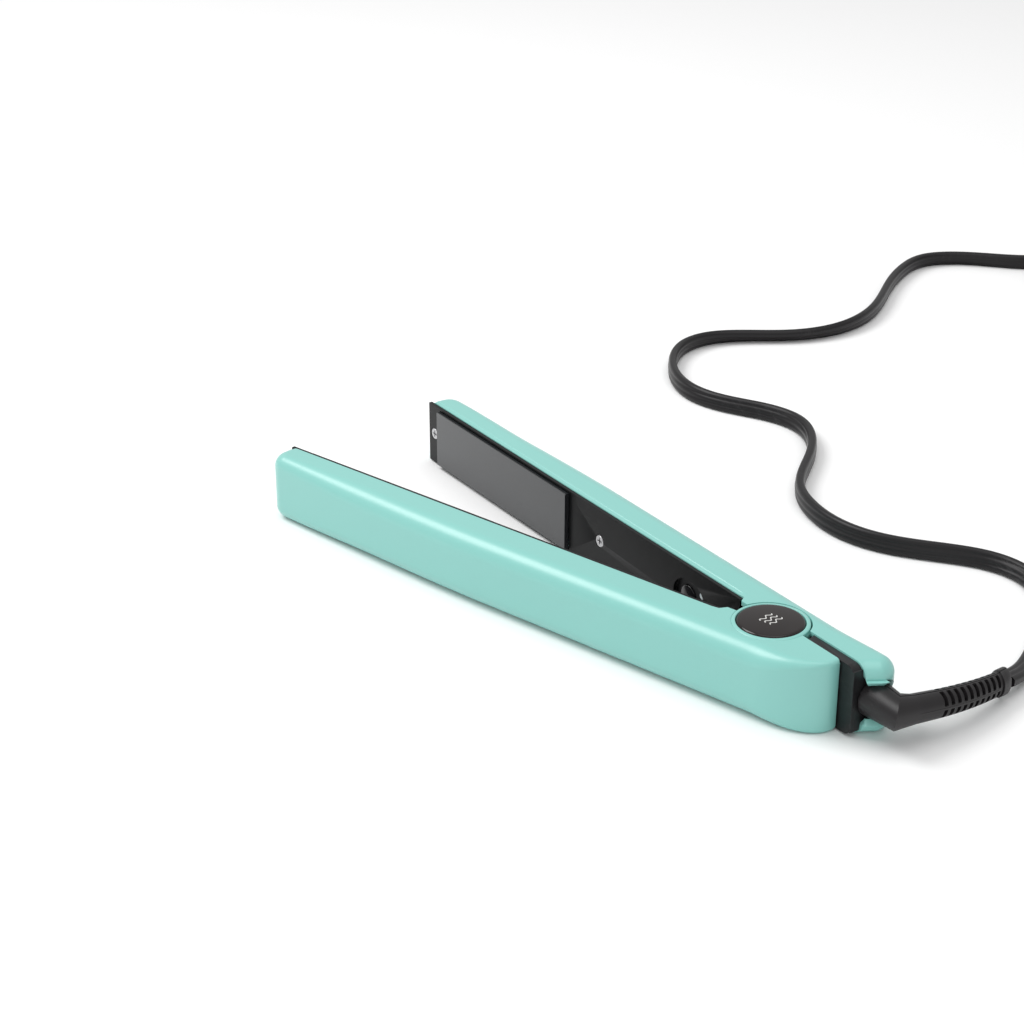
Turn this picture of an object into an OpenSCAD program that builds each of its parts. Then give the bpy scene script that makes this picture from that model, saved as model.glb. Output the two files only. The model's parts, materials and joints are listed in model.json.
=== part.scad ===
// Hair straightener lying on its side. Two arms turn about one upright hinge pin, and a
// spring holds the moving arm open. The cord leaves the fixed arm's tail through a swivel.
// Frame: Z is the hinge axis, z = 0 the surface it lies on, +X runs along the fixed arm
// to its tip, and the moving arm opens towards +Y.
// Both arms are drawn in arm space: x along the arm, y the depth into the arm from the
// hinge plane, z up. fixed_side() and moving_side() put them in place.

/* [Arms] */
// Width of each arm, its height as it lies
body_w = 27; // [24:0.5:33]
// Thickness of each arm's shell
arm_t = 17; // [14:0.5:21]
// Hinge plane to the shells' inner edge
half_gap = 3.5; // [2.9:0.1:4.5]
// Hinge axis to the tip
tip_x = 230; // [190:1:280]
// Hinge axis to the fixed arm's rear end
fixed_tail = 44; // [41:0.5:52]
// Hinge axis to the moving arm's rear end
moving_tail = 32; // [29:0.5:36]
// Rounding of the long outer edges
edge_r = 8; // [5:0.5:11]
// Where the outer face starts to draw in towards the tip
taper_x = 130; // [100:1:170]
// How far the outer face has drawn in at the tip
tip_drop = 5; // [2:0.5:8]
// Wall of the shells
wall = 1.8; // [1.4:0.1:2.4]

/* [Hinge] */
// Angle between the arms when they stand open
open_angle = 16.4; // [10:0.1:20]
// Radius of the hinge pin
pin_r = 3; // [2.4:0.1:3.6]
// Radius of the two round ears on the moving arm
ear_r = 13.6; // [12.6:0.1:15]
// Thickness of each ear
ear_t = 4.3; // [3.5:0.1:5.5]
// Radius of the fixed arm's hinge knuckle
knuckle_r = 9.6; // [9:0.1:11]
// Radius of the cap over the hinge
cap_r = 11.8; // [9.8:0.1:12.2]
// How far the upper cap stands above the ear
cap_rise = 1.1; // [0.5:0.1:2]

/* [Plates] */
// Length of each heating plate
plate_len = 95; // [78:1:116]
// Width of each heating plate
plate_w = 23.5; // [19:0.1:24]
// Hinge axis to the middle of the plates
plate_mid = 172; // [150:1:182]
// Travel of a plate on its cushions
float_travel = 0.8; // [0.4:0.1:1.2]
// Hinge plane to the liners' inner face
liner_d = 2; // [1.2:0.1:2.4]

/* [Controls] */
// Hinge axis to the power button
button_x = 50; // [44:1:60]
// Radius of the power button
button_r = 4.4; // [3:0.1:5]
// Travel of the power button
button_travel = 0.8; // [0.4:0.1:1]
// Length of the oval recess around the button
recess_len = 18.4; // [17:0.1:24]
// Height of the oval recess
recess_h = 14.4; // [12:0.1:17]

/* [Tail and swivel] */
// Hinge plane to the tail block's stop face
stop_d = 3.2; // [3:0.1:4]
// Hinge plane to the edge of the fixed shell beside the tail block
tail_edge_d = 7; // [6:0.1:8]
// Hinge plane to the swivel axis
swivel_d = 11.8; // [11:0.1:13]
// Radius of the swivel's journal
journal_r = 4.6; // [3.8:0.1:4.9]
// Radius of the boot where it meets the tail
stub_r = 6.8; // [6:0.1:7.2]
// Radius of the boot past its elbow
boot_r = 5; // [4.6:0.1:5.6]
// Length of the boot past its elbow
boot_len = 55; // [45:1:66]
// How far the boot droops below level
boot_droop = 7.9; // [0:0.1:10]

/* [Cord] */
// Width of the flat cord
cord_w = 7.6; // [6:0.1:9]
// Thickness of the flat cord
cord_t = 4.2; // [3.4:0.1:5]
// Radius of the coil at the middle of its turns
coil_r = 40.6; // [38:0.1:46]
// Length of the plug's body
plug_len = 30; // [25:1:36]
// Width of the plug's body
plug_w = 25; // [22:1:30]

/* [Hidden] */
$fn = 48;
eps = 0.01;

// Fits
fit = 0.15;        // play round a piece that is dropped in
run_gap = 0.05;    // radial clearance of a turning fit
move_gap = 0.5;    // air between the arms' moving faces

// Arms
out_d = half_gap + arm_t;           // depth of the outer face
mid_z = body_w / 2;
reach = 20;                         // how far an outline runs past the hinge plane before it is cut
tip_r = 7;                          // outer corner of the tip, seen from above
tip_edge_r = 5;                     // upper and lower corners of the tip
rear_r = 7;                         // fixed arm's rear outer corner, seen from above
tail_cut = 3;                       // the fixed tail's inner rear corner is cut off by this much
tail_edge_r = 1.5;                  // upper and lower corners of the tails
arc_steps = 6;
boat_x = 8;                         // the moving arm's tail starts to draw in here, as a
boat_drop = 14;                     // quarter of an ellipse, and draws in this far at its end
hub_x = 19;                         // shoulders beside the hinge: start
hub_top_x = 17.2;                   // shoulders beside the hinge: top
hub_d = 1;                          // depth of a shoulder's edge
relief_d = stop_d - 0.4;            // open moving tail's inner face, 0.4 short of the stop
cup_wall = 1.5;
ear_hole_r = ear_r + move_gap;
ear_floor = body_w - ear_t - move_gap;   // height of the recess floor under the upper ear
knuckle_top = ear_floor + move_gap - run_gap * 2 - 0.3;
knuckle_low = body_w - knuckle_top;
cap_seat = 1.9;                     // depth of the caps' seats in the ears

// Liners
liner_rim = 0.6;                    // the liner stands in from the shell's side faces
liner_back = half_gap - run_gap;
tongue_d = 6.5;                     // depth of the liner's tongue inside the shell
tongue_t = 1.2;
liner_tip = tip_x - 1.5;
tray_x = hub_x + fit;               // the liners begin here
window_gap = 0.35;
plate_x0 = plate_mid - plate_len / 2;
plate_x1 = plate_mid + plate_len / 2;

// Plates, their heaters and cushions
plate_gap = 0.15;                   // half the gap between closed plates
plate_t = 2;
lip_t = 1.5;
lip_in = 3;                         // lips stand in from the plate's long edges
lip_d = 7.5;
tab_len = 1.6;
tab_d = 4.2;
heater_t = 2.6;
shield_d = lip_d + 1.8;             // cushions fill the space between lips and heat shield
shield_t = 1.6;
shield_over = 1;                    // past the plate at the tip, and more at the handle
shield_wall = 1.5;
cushion_len = 14;
cushion_in = 8;

// Screws
screw_r = 1.1;
screw_head_r = 2.4;
screw_head_t = 1.2;
screw_len = 9;
boss_r = 3;
screw_xs = [30, (button_x + recess_len / 2 + plate_x0) / 2 + 12, plate_x1 + 5];

// Tail
block_x0 = -(fixed_tail - 4.7);     // rear face of the tail block
block_x1 = -(knuckle_r + 1.6);      // its front face
block_corner_r = 3.5;               // its rear corners, seen from the side
socket_r = journal_r + 1.4;
socket_x1 = -26;
flange_r = socket_r - 0.2;
flange_t = 2;
nose_r = 3;
nose_x = block_x1 - 0.8;
ring_r = 3.8;
ring_t = 2;
ring_xs = [socket_x1 + flange_t + 2.2, socket_x1 + flange_t + 6.6];
slot_r = stub_r + 1.4;              // opening in the fixed shell's rear wall

// Boot: stub along -X, elbow, a straight stretch and then a long bend
elbow_x = -(fixed_tail + 7.5);
elbow_r = 5.85;
boot_straight = 15;
boot_bend_r = 150;
boot_end_r = 4.2;
collar_r = 4.8;
collar_len = 5;
boot_x0 = block_x0 - 0.5;

// Cord
coil_layers = 2;
coil_wraps = 3;
coil_mid = [222, -427];
coil_half = coil_wraps * (cord_t + 0.3) / 2;
coil_top = coil_layers * (cord_w + 0.2);
cord_z = cord_t / 2;                // it lies flat on the surface
// Route from the boot to the coil
cord_route = [[-46, -66.2, 6], [-43, -76, 4.2], [-38, -86, 2.7], [-31, -97, cord_z],
    [-22, -110, cord_z], [-12, -121, cord_z], [0, -129, cord_z], [13, -132, cord_z],
    [26, -129, cord_z], [38, -121, cord_z], [50, -111, cord_z], [63, -103, cord_z],
    [80, -99, cord_z], [97, -101, cord_z], [113, -108, cord_z], [126, -120, cord_z],
    [138, -134, cord_z], [152, -146, cord_z], [168, -152, cord_z], [185, -149, cord_z],
    [202, -140, cord_z], [220, -135, cord_z], [239, -139, cord_z], [256, -150, cord_z],
    [268, -165, cord_z], [271, -182, cord_z], [264, -201, cord_z], [253, -220, cord_z],
    [248, -240, cord_z], [251, -260, cord_z], [263, -282, cord_z], [280, -304, cord_z],
    [294, -326, cord_z], [300, -346, cord_z], [293, -364, cord_z], [278, -379, cord_z],
    [266, -394, 2.6], [264, -410, 3.4], [267, -427, 3.9]];
// Route from the coil to the plug
cord_end_route = [[177, -427, 11.6], [176, -415, 10.8], [173, -402, 9], [170, -390, 7.6],
    [168, -380, 7]];
plug_at = [168, -380, 7];
plug_turn = 101;                    // heading of the plug's blades
plug_h = 14;
blade_len = 17;
blade_w = 6.3;
blade_t = 1.5;
blade_gap = 12.7;

// ---------------------------------------------------------------- places
module fixed_side() { mirror([0, 1, 0]) children(); }

module moving_side() { rotate([0, 0, open_angle]) children(); }

// A box from one corner to the opposite one
module block(low, high) { translate(low) cube(high - low); }

// A cylinder along the depth axis, from depth d0 to d1
module post(x, z, d0, d1, r) {
    translate([x, d0, z]) rotate([-90, 0, 0]) cylinder(r = r, h = d1 - d0);
}

// A cylinder along the swivel axis, from x0 forward to x1
module shaft(x0, x1, r) {
    translate([x0, swivel_d, mid_z]) rotate([0, 90, 0]) cylinder(r = r, h = x1 - x0);
}

// ---------------------------------------------------------------- swept tubes
// Rings of points carried along a route. half_w and half_h are lists, one value per ring.
function unit(v) = v / norm(v);
function heading(p, i) = unit(p[min(i + 1, len(p) - 1)] - p[max(i - 1, 0)]);
function across(t) = unit(cross(t, [0, 0, 1]));
function ring_points(p, i, a, b, n) =
    let(t = heading(p, i), s = across(t), u = cross(s, t))
    [for (j = [0:n - 1]) p[i] + a * cos(360 * j / n) * s + b * sin(360 * j / n) * u];
module swept(p, half_w, half_h, n) {
    m = len(p);
    points = [for (i = [0:m - 1]) each ring_points(p, i, half_w[i], half_h[i], n)];
    sides = [for (i = [0:m - 2], j = [0:n - 1]) let(a = i * n + j, b = i * n + (j + 1) % n)
        each [[a, b, b + n], [a, b + n, a + n]]];
    ends = [[for (j = [n - 1:-1:0]) j], [for (j = [0:n - 1]) (m - 1) * n + j]];
    polyhedron(points, concat(sides, ends));
}
function same(v, p) = [for (i = p) v];
// A route with a point added halfway along each of its bends
function smooth(p) = let(m = len(p) - 1) [for (i = [0:m]) each i == m ? [p[m]] :
    [p[i], (9 * (p[i] + p[i + 1]) - p[max(i - 1, 0)] - p[min(i + 2, m)]) / 16]];

// ---------------------------------------------------------------- shape of an arm
// Each outline below can be drawn in by the same amount on every side

// Points round a circle at c, from angle a0 to a1
function arc(c, r, a0, a1) = r <= 0 ? [c] :
    [for (i = [0:arc_steps]) let(a = a0 + (a1 - a0) * i / arc_steps) c + r * [cos(a), sin(a)]];

// Heading of the line from p that touches a circle. side is 1 or -1.
function touch(p, c, r, side) = let(v = c - p) atan2(v.y, v.x) + side * asin(r / norm(v));

// Quarter of an ellipse round the moving arm's tail
function boat_points(in) = [for (i = [0:2 * arc_steps]) let(a = 45 * i / arc_steps)
    [-boat_x - (moving_tail - boat_x - in) * sin(a), out_d - boat_drop + (boat_drop - in) * cos(a)]];

// Seen from above: x along the arm, y the depth
module arm_plan(moving, in = 0) {
    tail = moving ? moving_tail : fixed_tail;
    tip_c = [tip_x - tip_r, out_d - tip_drop - tip_r];
    tip_way = touch([taper_x, out_d], tip_c, tip_r, 1);
    polygon(concat([[tip_x - in, -reach]], arc(tip_c, tip_r - in, 0, 90 + tip_way),
        [[taper_x - in * tan(-tip_way / 2), out_d - in]],
        moving ? boat_points(in) : arc([-tail + rear_r, out_d - rear_r], rear_r - in, 90, 180),
        [[-tail + in, -reach]]));
}

// A band from y0 to y1 whose ends at x0 and x1 have corners of radius r0 and r1
module rounded(x0, x1, y0, y1, r0, r1) {
    polygon(concat(arc([x1 - r1, y0 + r1], r1, -90, 0), arc([x1 - r1, y1 - r1], r1, 0, 90),
        arc([x0 + r0, y1 - r0], r0, 90, 180), arc([x0 + r0, y0 + r0], r0, 180, 270)));
}

// Across the arm: x is the depth, y the height
module arm_section(in) { rounded(-reach, out_d - in, in, body_w - in, 0, edge_r - in); }

// Seen from the side: x along the arm, y the height
module arm_profile(moving, in) {
    rounded(-(moving ? moving_tail : fixed_tail) + in, tip_x - in, in, body_w - in,
        max(tail_edge_r - in, 0), tip_edge_r - in);
}

// The whole outer form of an arm, drawn in on every side
module arm_form(moving, in = 0) {
    intersection() {
        translate([0, 0, -1]) linear_extrude(body_w + 2) arm_plan(moving, in);
        translate([-fixed_tail - 5, 0, 0]) rotate([90, 0, 90])
            linear_extrude(tip_x + fixed_tail + 10) arm_section(in);
        translate([0, out_d + 5, 0]) rotate([90, 0, 0])
            linear_extrude(out_d + reach + 10) arm_profile(moving, in);
    }
}

// What each shell keeps of its form, as an outline seen from above
module fixed_mask() {
    polygon([[tip_x + 5, half_gap], [hub_x, half_gap], [hub_top_x, hub_d], [0, hub_d],
        [-knuckle_r, tail_edge_d], [-fixed_tail + tail_cut, tail_edge_d],
        [-fixed_tail, tail_edge_d + 1.6 * tail_cut], [-fixed_tail - 5, tail_edge_d + 1.6 * tail_cut],
        [-fixed_tail - 5, out_d + 5], [tip_x + 5, out_d + 5]]);
}

// Depth of the moving tail's inner face at x, so that it lies along the stop when open
function relief(x) = -relief_d / cos(open_angle) - x * tan(open_angle);

module moving_mask() {
    tail = moving_tail + 5;
    polygon([[tip_x + 5, half_gap], [hub_x, half_gap], [hub_top_x, hub_d], [0, hub_d],
        [-knuckle_r - 3, max(hub_d, relief(-knuckle_r - 3))], [-tail, relief(-tail)],
        [-tail, out_d + 5], [tip_x + 5, out_d + 5]]);
}

// Screw bosses rising from a shell's outer wall to the liner
module bosses(moving) {
    intersection() {
        for (x = screw_xs) post(x, mid_z, liner_back + 1.6, out_d, boss_r);
        arm_form(moving, wall / 2);
    }
}

module boss_holes() {
    for (x = screw_xs) post(x, mid_z, 0, liner_d + screw_head_t + screw_len + 1, screw_r);
}

// ---------------------------------------------------------------- shells
module fixed_shell() {
    color("#a5ded5") fixed_side() difference() {
        union() {
            intersection() {
                difference() {
                    arm_form(false, 0);
                    arm_form(false, wall);
                }
                linear_extrude(body_w) fixed_mask();
            }
            // Cups that the ears turn in
            intersection() {
                for (z = [ear_floor - cup_wall, wall / 2])
                    translate([0, 0, z])
                        cylinder(r = ear_hole_r + cup_wall, h = ear_t + move_gap + cup_wall - wall / 2);
                block([-reach, half_gap + 1, 0], [reach, out_d - wall / 2, body_w]);
            }
            bosses(false);
        }
        translate([0, 0, ear_floor]) cylinder(r = ear_hole_r, h = body_w);
        translate([0, 0, -1]) cylinder(r = ear_hole_r, h = body_w - ear_floor + 1);
        translate([0, 0, -1]) cylinder(r = knuckle_r + 0.4, h = body_w + 2);
        // Opening for the swivel in the rear wall
        shaft(-fixed_tail - 2, -fixed_tail + rear_r / 2 + 1.5, slot_r);
        block([-fixed_tail - 2, 0, mid_z - slot_r], [-fixed_tail + wall + 0.3, swivel_d, mid_z + slot_r]);
        boss_holes();
    }
}

module moving_shell() {
    color("#a5ded5") moving_side() difference() {
        union() {
            intersection() {
                difference() {
                    arm_form(true, 0);
                    arm_form(true, wall);
                }
                linear_extrude(body_w) moving_mask();
            }
            // The two ears
            for (z = [0, body_w - ear_t]) translate([0, 0, z]) cylinder(r = ear_r, h = ear_t);
            // Webs from the ears into the shell
            intersection() {
                for (z = [wall / 2, body_w - ear_t])
                    block([-ear_r, half_gap + 1, z], [ear_r, out_d, z + ear_t - wall / 2]);
                arm_form(true, wall / 2);
            }
            bosses(true);
        }
        translate([0, 0, -1]) cylinder(r = pin_r, h = body_w + 2);
        translate([0, 0, body_w - cap_seat]) cylinder(r = cap_r + fit, h = cap_seat + 1);
        translate([0, 0, -1]) cylinder(r = cap_r + fit, h = cap_seat + 1);
        boss_holes();
    }
}

// ---------------------------------------------------------------- liners
// The tray that closes an arm's inner side, with its tongue inside the shell
module liner_tray(moving) {
    difference() {
        union() {
            intersection() {
                translate([0, 0, liner_rim]) linear_extrude(body_w - 2 * liner_rim)
                    arm_plan(moving, liner_rim);
                block([tray_x, liner_d, 0], [liner_tip, liner_back, body_w]);
            }
            intersection() {
                difference() {
                    arm_form(moving, wall + fit);
                    arm_form(moving, wall + fit + tongue_t);
                }
                block([tray_x, liner_d + 0.5, 0],
                    [screw_xs[2] - boss_r - fit, tongue_d, body_w]);
            }
        }
        // Window for the plate
        block([plate_x0 - window_gap, 0, mid_z - plate_w / 2 - window_gap],
            [plate_x1 + window_gap, tongue_d + 1, mid_z + plate_w / 2 + window_gap]);
        for (x = screw_xs) {
            post(x, mid_z, 0, liner_d + screw_head_t, screw_head_r + fit);
            post(x, mid_z, 0, tongue_d, screw_r + fit);
        }
    }
}

module recess_outline(grow = 0) {
    x0 = button_x - 2 - recess_len / 2 - grow;
    rounded(x0, x0 + recess_len + 2 * grow, mid_z - recess_h / 2 - grow, mid_z + recess_h / 2 + grow,
        recess_h / 2 + grow, recess_h / 2 + grow);
}

// An outline in x and z, given thickness from depth d0 to d1
module slab(d0, d1) { translate([0, d1, 0]) rotate([90, 0, 0]) linear_extrude(d1 - d0) children(); }

module fixed_liner() {
    recess_floor = liner_d + 1.5;
    color("#1c1c1e") fixed_side() difference() {
        union() {
            liner_tray(false);
            slab(liner_d + 0.5, recess_floor + 1.2) recess_outline(1.2);
        }
        slab(0, recess_floor) recess_outline();
        post(button_x, mid_z, 0, tongue_d, button_r + fit);
        post(lens_x, lens_z, 0, tongue_d, lens_r + run_gap);
    }
}

module moving_liner() {
    color("#1c1c1e") moving_side() {
        liner_tray(true);
        moving_tail_wall();
    }
}

// Inner wall of the moving tail and the half ring that clears the knuckle
module moving_tail_wall() {
    tail_t = 1.6;
    ring_in = knuckle_r + 0.9;
    low = knuckle_low;
    difference() {
        union() {
            intersection() {
                translate([0, 0, low]) difference() {
                    cylinder(r = ring_in + tail_t, h = knuckle_top - low);
                    translate([0, 0, -1]) cylinder(r = ring_in, h = body_w);
                }
                linear_extrude(body_w) moving_mask();
            }
            // Bridge to the tray
            block([ring_in + 0.2, liner_d, low], [tray_x + eps, liner_back, knuckle_top]);
            rotate([0, 0, -open_angle])
                block([-moving_tail + 2, -relief_d, wall + fit],
                    [-ring_in - 0.4, -relief_d + tail_t, body_w - wall - fit]);
        }
        translate([0, 0, ear_floor - 0.3]) cylinder(r = ear_r + fit, h = body_w);
        translate([0, 0, -1]) cylinder(r = ear_r + fit, h = body_w - ear_floor + 1.3);
        rotate([0, 0, spring_moving_angle - open_angle])
            translate([knuckle_r, 0, spring_top]) rotate([0, 90, 0]) cylinder(r = 1, h = 6);
    }
}

// ---------------------------------------------------------------- hinge
bush_r = pin_r + 1.5;
bush_len = 4;
spring_r = bush_r + 1.7;
spring_wire = 0.6;
spring_turns = 4;
spring_low = mid_z - 3;
spring_top = mid_z + 3;
spring_fixed_angle = -60;
spring_moving_angle = 76.4;

module hinge_knuckle() {
    color("#1c1c1e") difference() {
        union() {
            translate([0, 0, knuckle_low]) cylinder(r = knuckle_r, h = knuckle_top - knuckle_low);
            // Arm that runs in under the liner, held there by the first screw
            fixed_side() {
                block([0, liner_d, knuckle_low], [tray_x - fit, liner_back + 0.8, knuckle_top]);
                block([hub_x - 2, liner_back + run_gap, mid_z - 5], [screw_xs[0] + 4, liner_back + 1.5, mid_z + 5]);
            }
        }
        translate([0, 0, -1]) cylinder(r = bush_r, h = body_w + 2);
        translate([0, 0, spring_low - 1.2])
            cylinder(r = spring_r + spring_wire + 0.5, h = spring_top - spring_low + 2.4);
        for (leg = [[spring_fixed_angle, spring_low], [spring_moving_angle, spring_top]])
            rotate([0, 0, leg[0]]) translate([spring_r, 0, leg[1]])
                rotate([0, 90, 0]) cylinder(r = 1, h = knuckle_r);
        fixed_side() post(screw_xs[0], mid_z, 0, tongue_d, screw_r + fit);
    }
}

module hinge_pin() {
    color("#b8b8ba") translate([0, 0, cap_seat + 0.2]) cylinder(r = pin_r, h = body_w - 2 * cap_seat - 0.4);
}

module hinge_bushes() {
    color("#b08d4a") for (z = [knuckle_low, knuckle_top - bush_len]) translate([0, 0, z])
        difference() {
            cylinder(r = bush_r, h = bush_len);
            translate([0, 0, -1]) cylinder(r = pin_r + run_gap, h = bush_len + 2);
        }
}

// Torsion spring: a coil round the pin, with a leg into each arm
module opening_spring() {
    steps = 14;
    turn = 360 * spring_turns + spring_moving_angle - spring_fixed_angle;
    count = round(turn / 360 * steps);
    coil = [for (i = [0:count]) let(a = spring_fixed_angle + turn * i / count)
        [spring_r * cos(a), spring_r * sin(a), spring_low + (spring_top - spring_low) * i / count]];
    color("#8e8e90") {
        swept(coil, same(spring_wire, coil), same(spring_wire, coil), 6);
        for (leg = [[spring_fixed_angle, spring_low], [spring_moving_angle, spring_top]])
            rotate([0, 0, leg[0]]) translate([spring_r - 0.2, 0, leg[1]])
                rotate([0, 90, 0]) cylinder(r = spring_wire, h = knuckle_r - spring_r + 3);
    }
}

module cap_top() {
    dome = 0.5;
    steps = 8;
    low = body_w - cap_seat + run_gap;
    rim = body_w + cap_rise - dome;
    color("#3a302e") rotate_extrude() polygon(concat([[0, low], [cap_r, low], [cap_r, rim - 0.5]],
        [for (i = [0:steps]) let(r = (cap_r - 0.5) * (1 - i / steps))
            [r, rim + dome * (1 - pow(r / (cap_r - 0.5), 2))]]));
}

module cap_bottom() {
    color("#3a302e") cylinder(r = cap_r, h = cap_seat - run_gap);
}

// ---------------------------------------------------------------- plates
module plate() {
    z0 = mid_z - plate_w / 2;
    z1 = mid_z + plate_w / 2;
    block([plate_x0, plate_gap, z0], [plate_x1, plate_gap + plate_t, z1]);
    for (z = [z0 + lip_in, z1 - lip_in - lip_t])
        block([plate_x0 + 2, plate_gap + plate_t - eps, z], [plate_x1 - 2, lip_d, z + lip_t]);
    // Tabs that catch behind the liner at both ends
    for (x = [[plate_x0 - tab_len, plate_x0 + 4], [plate_x1 - 4, plate_x1 + tab_len]])
        block([x[0], tab_d, z0 + lip_in + lip_t - eps], [x[1], lip_d - 2, z1 - lip_in - lip_t + eps]);
}

module heater() {
    z0 = mid_z - plate_w / 2 + lip_in + lip_t + 0.5;
    block([plate_mid - 33, plate_gap + plate_t, z0],
        [plate_mid + 33, plate_gap + plate_t + heater_t, body_w - z0]);
}

// A tray behind the plate, open at the tip's end
module heat_shield(moving) {
    x0 = plate_x0 - tab_len - shield_wall - 1;
    difference() {
        intersection() {
            block([x0, lip_d - 3, 0], [plate_x1 + shield_over, shield_d + shield_t, body_w]);
            arm_form(moving, wall + fit + tongue_t + 0.3);
        }
        block([x0 + shield_wall, 0, mid_z - plate_w / 2 + 1.5],
            [tip_x, shield_d, mid_z + plate_w / 2 - 1.5]);
        // Way through for the leads
        block([x0 - 1, 0, mid_z - 3], [plate_x0, shield_d, mid_z + 3]);
    }
}

module cushions() {
    z0 = mid_z - plate_w / 2 + lip_in - 0.5;
    for (x = [plate_x0 + cushion_in, plate_x1 - cushion_in - cushion_len])
        block([x, lip_d, z0], [x + cushion_len, shield_d, body_w - z0]);
}

module fixed_plate() { color("#3c4245") fixed_side() plate(); }
module moving_plate() { color("#3c4245") moving_side() plate(); }
module fixed_heater() { color("#c98b3a") fixed_side() heater(); }
module moving_heater() { color("#c98b3a") moving_side() heater(); }
module fixed_heat_shield() { color("#6b5a48") fixed_side() heat_shield(false); }
module moving_heat_shield() { color("#6b5a48") moving_side() heat_shield(true); }
module fixed_cushions() { color("#c4452f") fixed_side() cushions(); }
module moving_cushions() { color("#c4452f") moving_side() cushions(); }

// ---------------------------------------------------------------- screws
module screws(moving) {
    for (x = screw_xs) {
        post(x, mid_z, liner_d + 0.1, liner_d + screw_head_t, screw_head_r);
        post(x, mid_z, liner_d + screw_head_t - eps, liner_d + screw_head_t + screw_len, screw_r - eps);
    }
}
module fixed_screws() { color("#77787a") fixed_side() screws(false); }
module moving_screws() { color("#77787a") moving_side() screws(true); }

// ---------------------------------------------------------------- controls
board_x0 = screw_xs[0] + boss_r + 1;
board_x1 = screw_xs[1] - boss_r - 1;
board_d = 9.4;
board_t = 1.6;
board_half = body_w / 2 - wall - fit;
lens_r = 1.2;
lens_x = button_x - 8;
lens_z = mid_z + 3.6;
switch_half = 3;
button_face = liner_d + 0.5;
button_back = liner_d + 3.2;

module control_board() {
    color("#2c6b3f") fixed_side()
        block([board_x0, board_d, mid_z - board_half], [board_x1, board_d + board_t, mid_z + board_half]);
}

module board_components() {
    back = board_d + board_t;
    color("#39435e") fixed_side() {
        post(board_x0 + 8, mid_z + 3, back, back + 5, 3.5);
        block([board_x0 + 16, back, mid_z - 6], [board_x0 + 24, back + 3.5, mid_z + 6]);
        block([board_x0 + 30, back, mid_z - 7], [board_x0 + 45, back + 2.2, mid_z + 2]);
        block([board_x1 - 12, back, mid_z - 5], [board_x1 - 4, back + 5, mid_z + 5]);
    }
}

module button_switch() {
    color("#2b2b2d") fixed_side() {
        block([button_x - switch_half, button_back + button_travel + 0.6, mid_z - switch_half],
            [button_x + switch_half, board_d, mid_z + switch_half]);
        post(button_x, mid_z, button_back + button_travel + 0.1, button_back + button_travel + 0.7, 1.6);
    }
}

module power_button() {
    dome = 0.6;
    steps = 6;
    color("#2a2a2c") fixed_side() translate([button_x, 0, mid_z]) rotate([-90, 0, 0]) {
        rotate_extrude() polygon(concat([[0, button_back], [button_r, button_back]],
            [for (i = [0:steps]) let(r = button_r * (1 - i / steps))
                [r, button_face + dome * pow(r / button_r, 2)]]));
        // Collar that keeps the button behind the liner
        translate([0, 0, button_back - 0.4 + eps]) cylinder(r = button_r + 0.9, h = 0.4);
    }
}

module indicator_lens() {
    color("#d8e6ea") fixed_side() post(lens_x, lens_z, liner_d + 1.2, liner_d + 4.4, lens_r);
}

module thermal_fuse() {
    color("#b9b09a") fixed_side() translate([plate_mid - 20, shield_d + shield_t + 1.6, mid_z])
        rotate([0, 90, 0]) cylinder(r = 1.5, h = 11);
}

module thermistor() {
    color("#b9b09a") moving_side() translate([plate_mid - 20, shield_d + shield_t + 1.3, mid_z])
        rotate([0, 90, 0]) cylinder(r = 1.2, h = 8);
}

// Pairs of insulated wires from the handle to the plates
module leads(route) {
    for (z = [-1.4, 1.4]) {
        wire = [for (p = route) p + [0, 0, z]];
        swept(wire, same(0.9, wire), same(0.9, wire), 8);
    }
}

lead_d = 12;
lead_z = mid_z + boss_r + 2.5;      // the leads pass over the screw boss
lead_x = plate_x0 - 4;
lead_end = [[lead_x - 9, lead_d, lead_z], [lead_x - 3, 9.6, mid_z + 2], [lead_x, 8.2, mid_z],
    [lead_x + 5, 8, mid_z]];

module fixed_leads() {
    color("#c9c4b8") fixed_side()
        leads(concat([[board_x1 + 0.5, lead_d + 1, lead_z]], lead_end));
}

module moving_leads() {
    color("#c9c4b8") moving_side() leads(concat(
        [for (x = [hub_x + 2, 50, 75]) [x, lead_d, lead_z]], lead_end));
}

// ---------------------------------------------------------------- tail and swivel
module tail_block() {
    inner = wall + fit + 0.1;
    color("#202022") fixed_side() difference() {
        union() {
            slab(stop_d, tail_edge_d - 0.1)
                rounded(block_x0, block_x1, liner_rim, body_w - liner_rim, block_corner_r, 0);
            intersection() {
                arm_form(false, inner);
                block([block_x0, stop_d, 0], [block_x1, out_d, body_w]);
            }
        }
        translate([0, 0, ear_floor - cup_wall - 0.2]) cylinder(r = ear_hole_r + cup_wall + 0.3, h = body_w);
        translate([0, 0, -1])
            cylinder(r = ear_hole_r + cup_wall + 0.3, h = body_w - ear_floor + cup_wall + 1.2);
        shaft(block_x0 - 1, socket_x1, socket_r);
        shaft(socket_x1 - eps, block_x1 + 1, socket_r + 0.3);
    }
}

module swivel_socket() {
    color("#4a4a4d") fixed_side() difference() {
        shaft(block_x0 + 0.3, socket_x1, socket_r);
        shaft(block_x0 - 1, socket_x1 + 1, journal_r + run_gap);
    }
}

module brush_contacts() {
    tip = ring_r + run_gap;
    color("#c9a04b") fixed_side() for (x = ring_xs)
        block([x + 0.4, swivel_d - 1, mid_z + tip], [x + ring_t - 0.4, swivel_d + 1, mid_z + socket_r + 0.2]);
}

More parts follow.
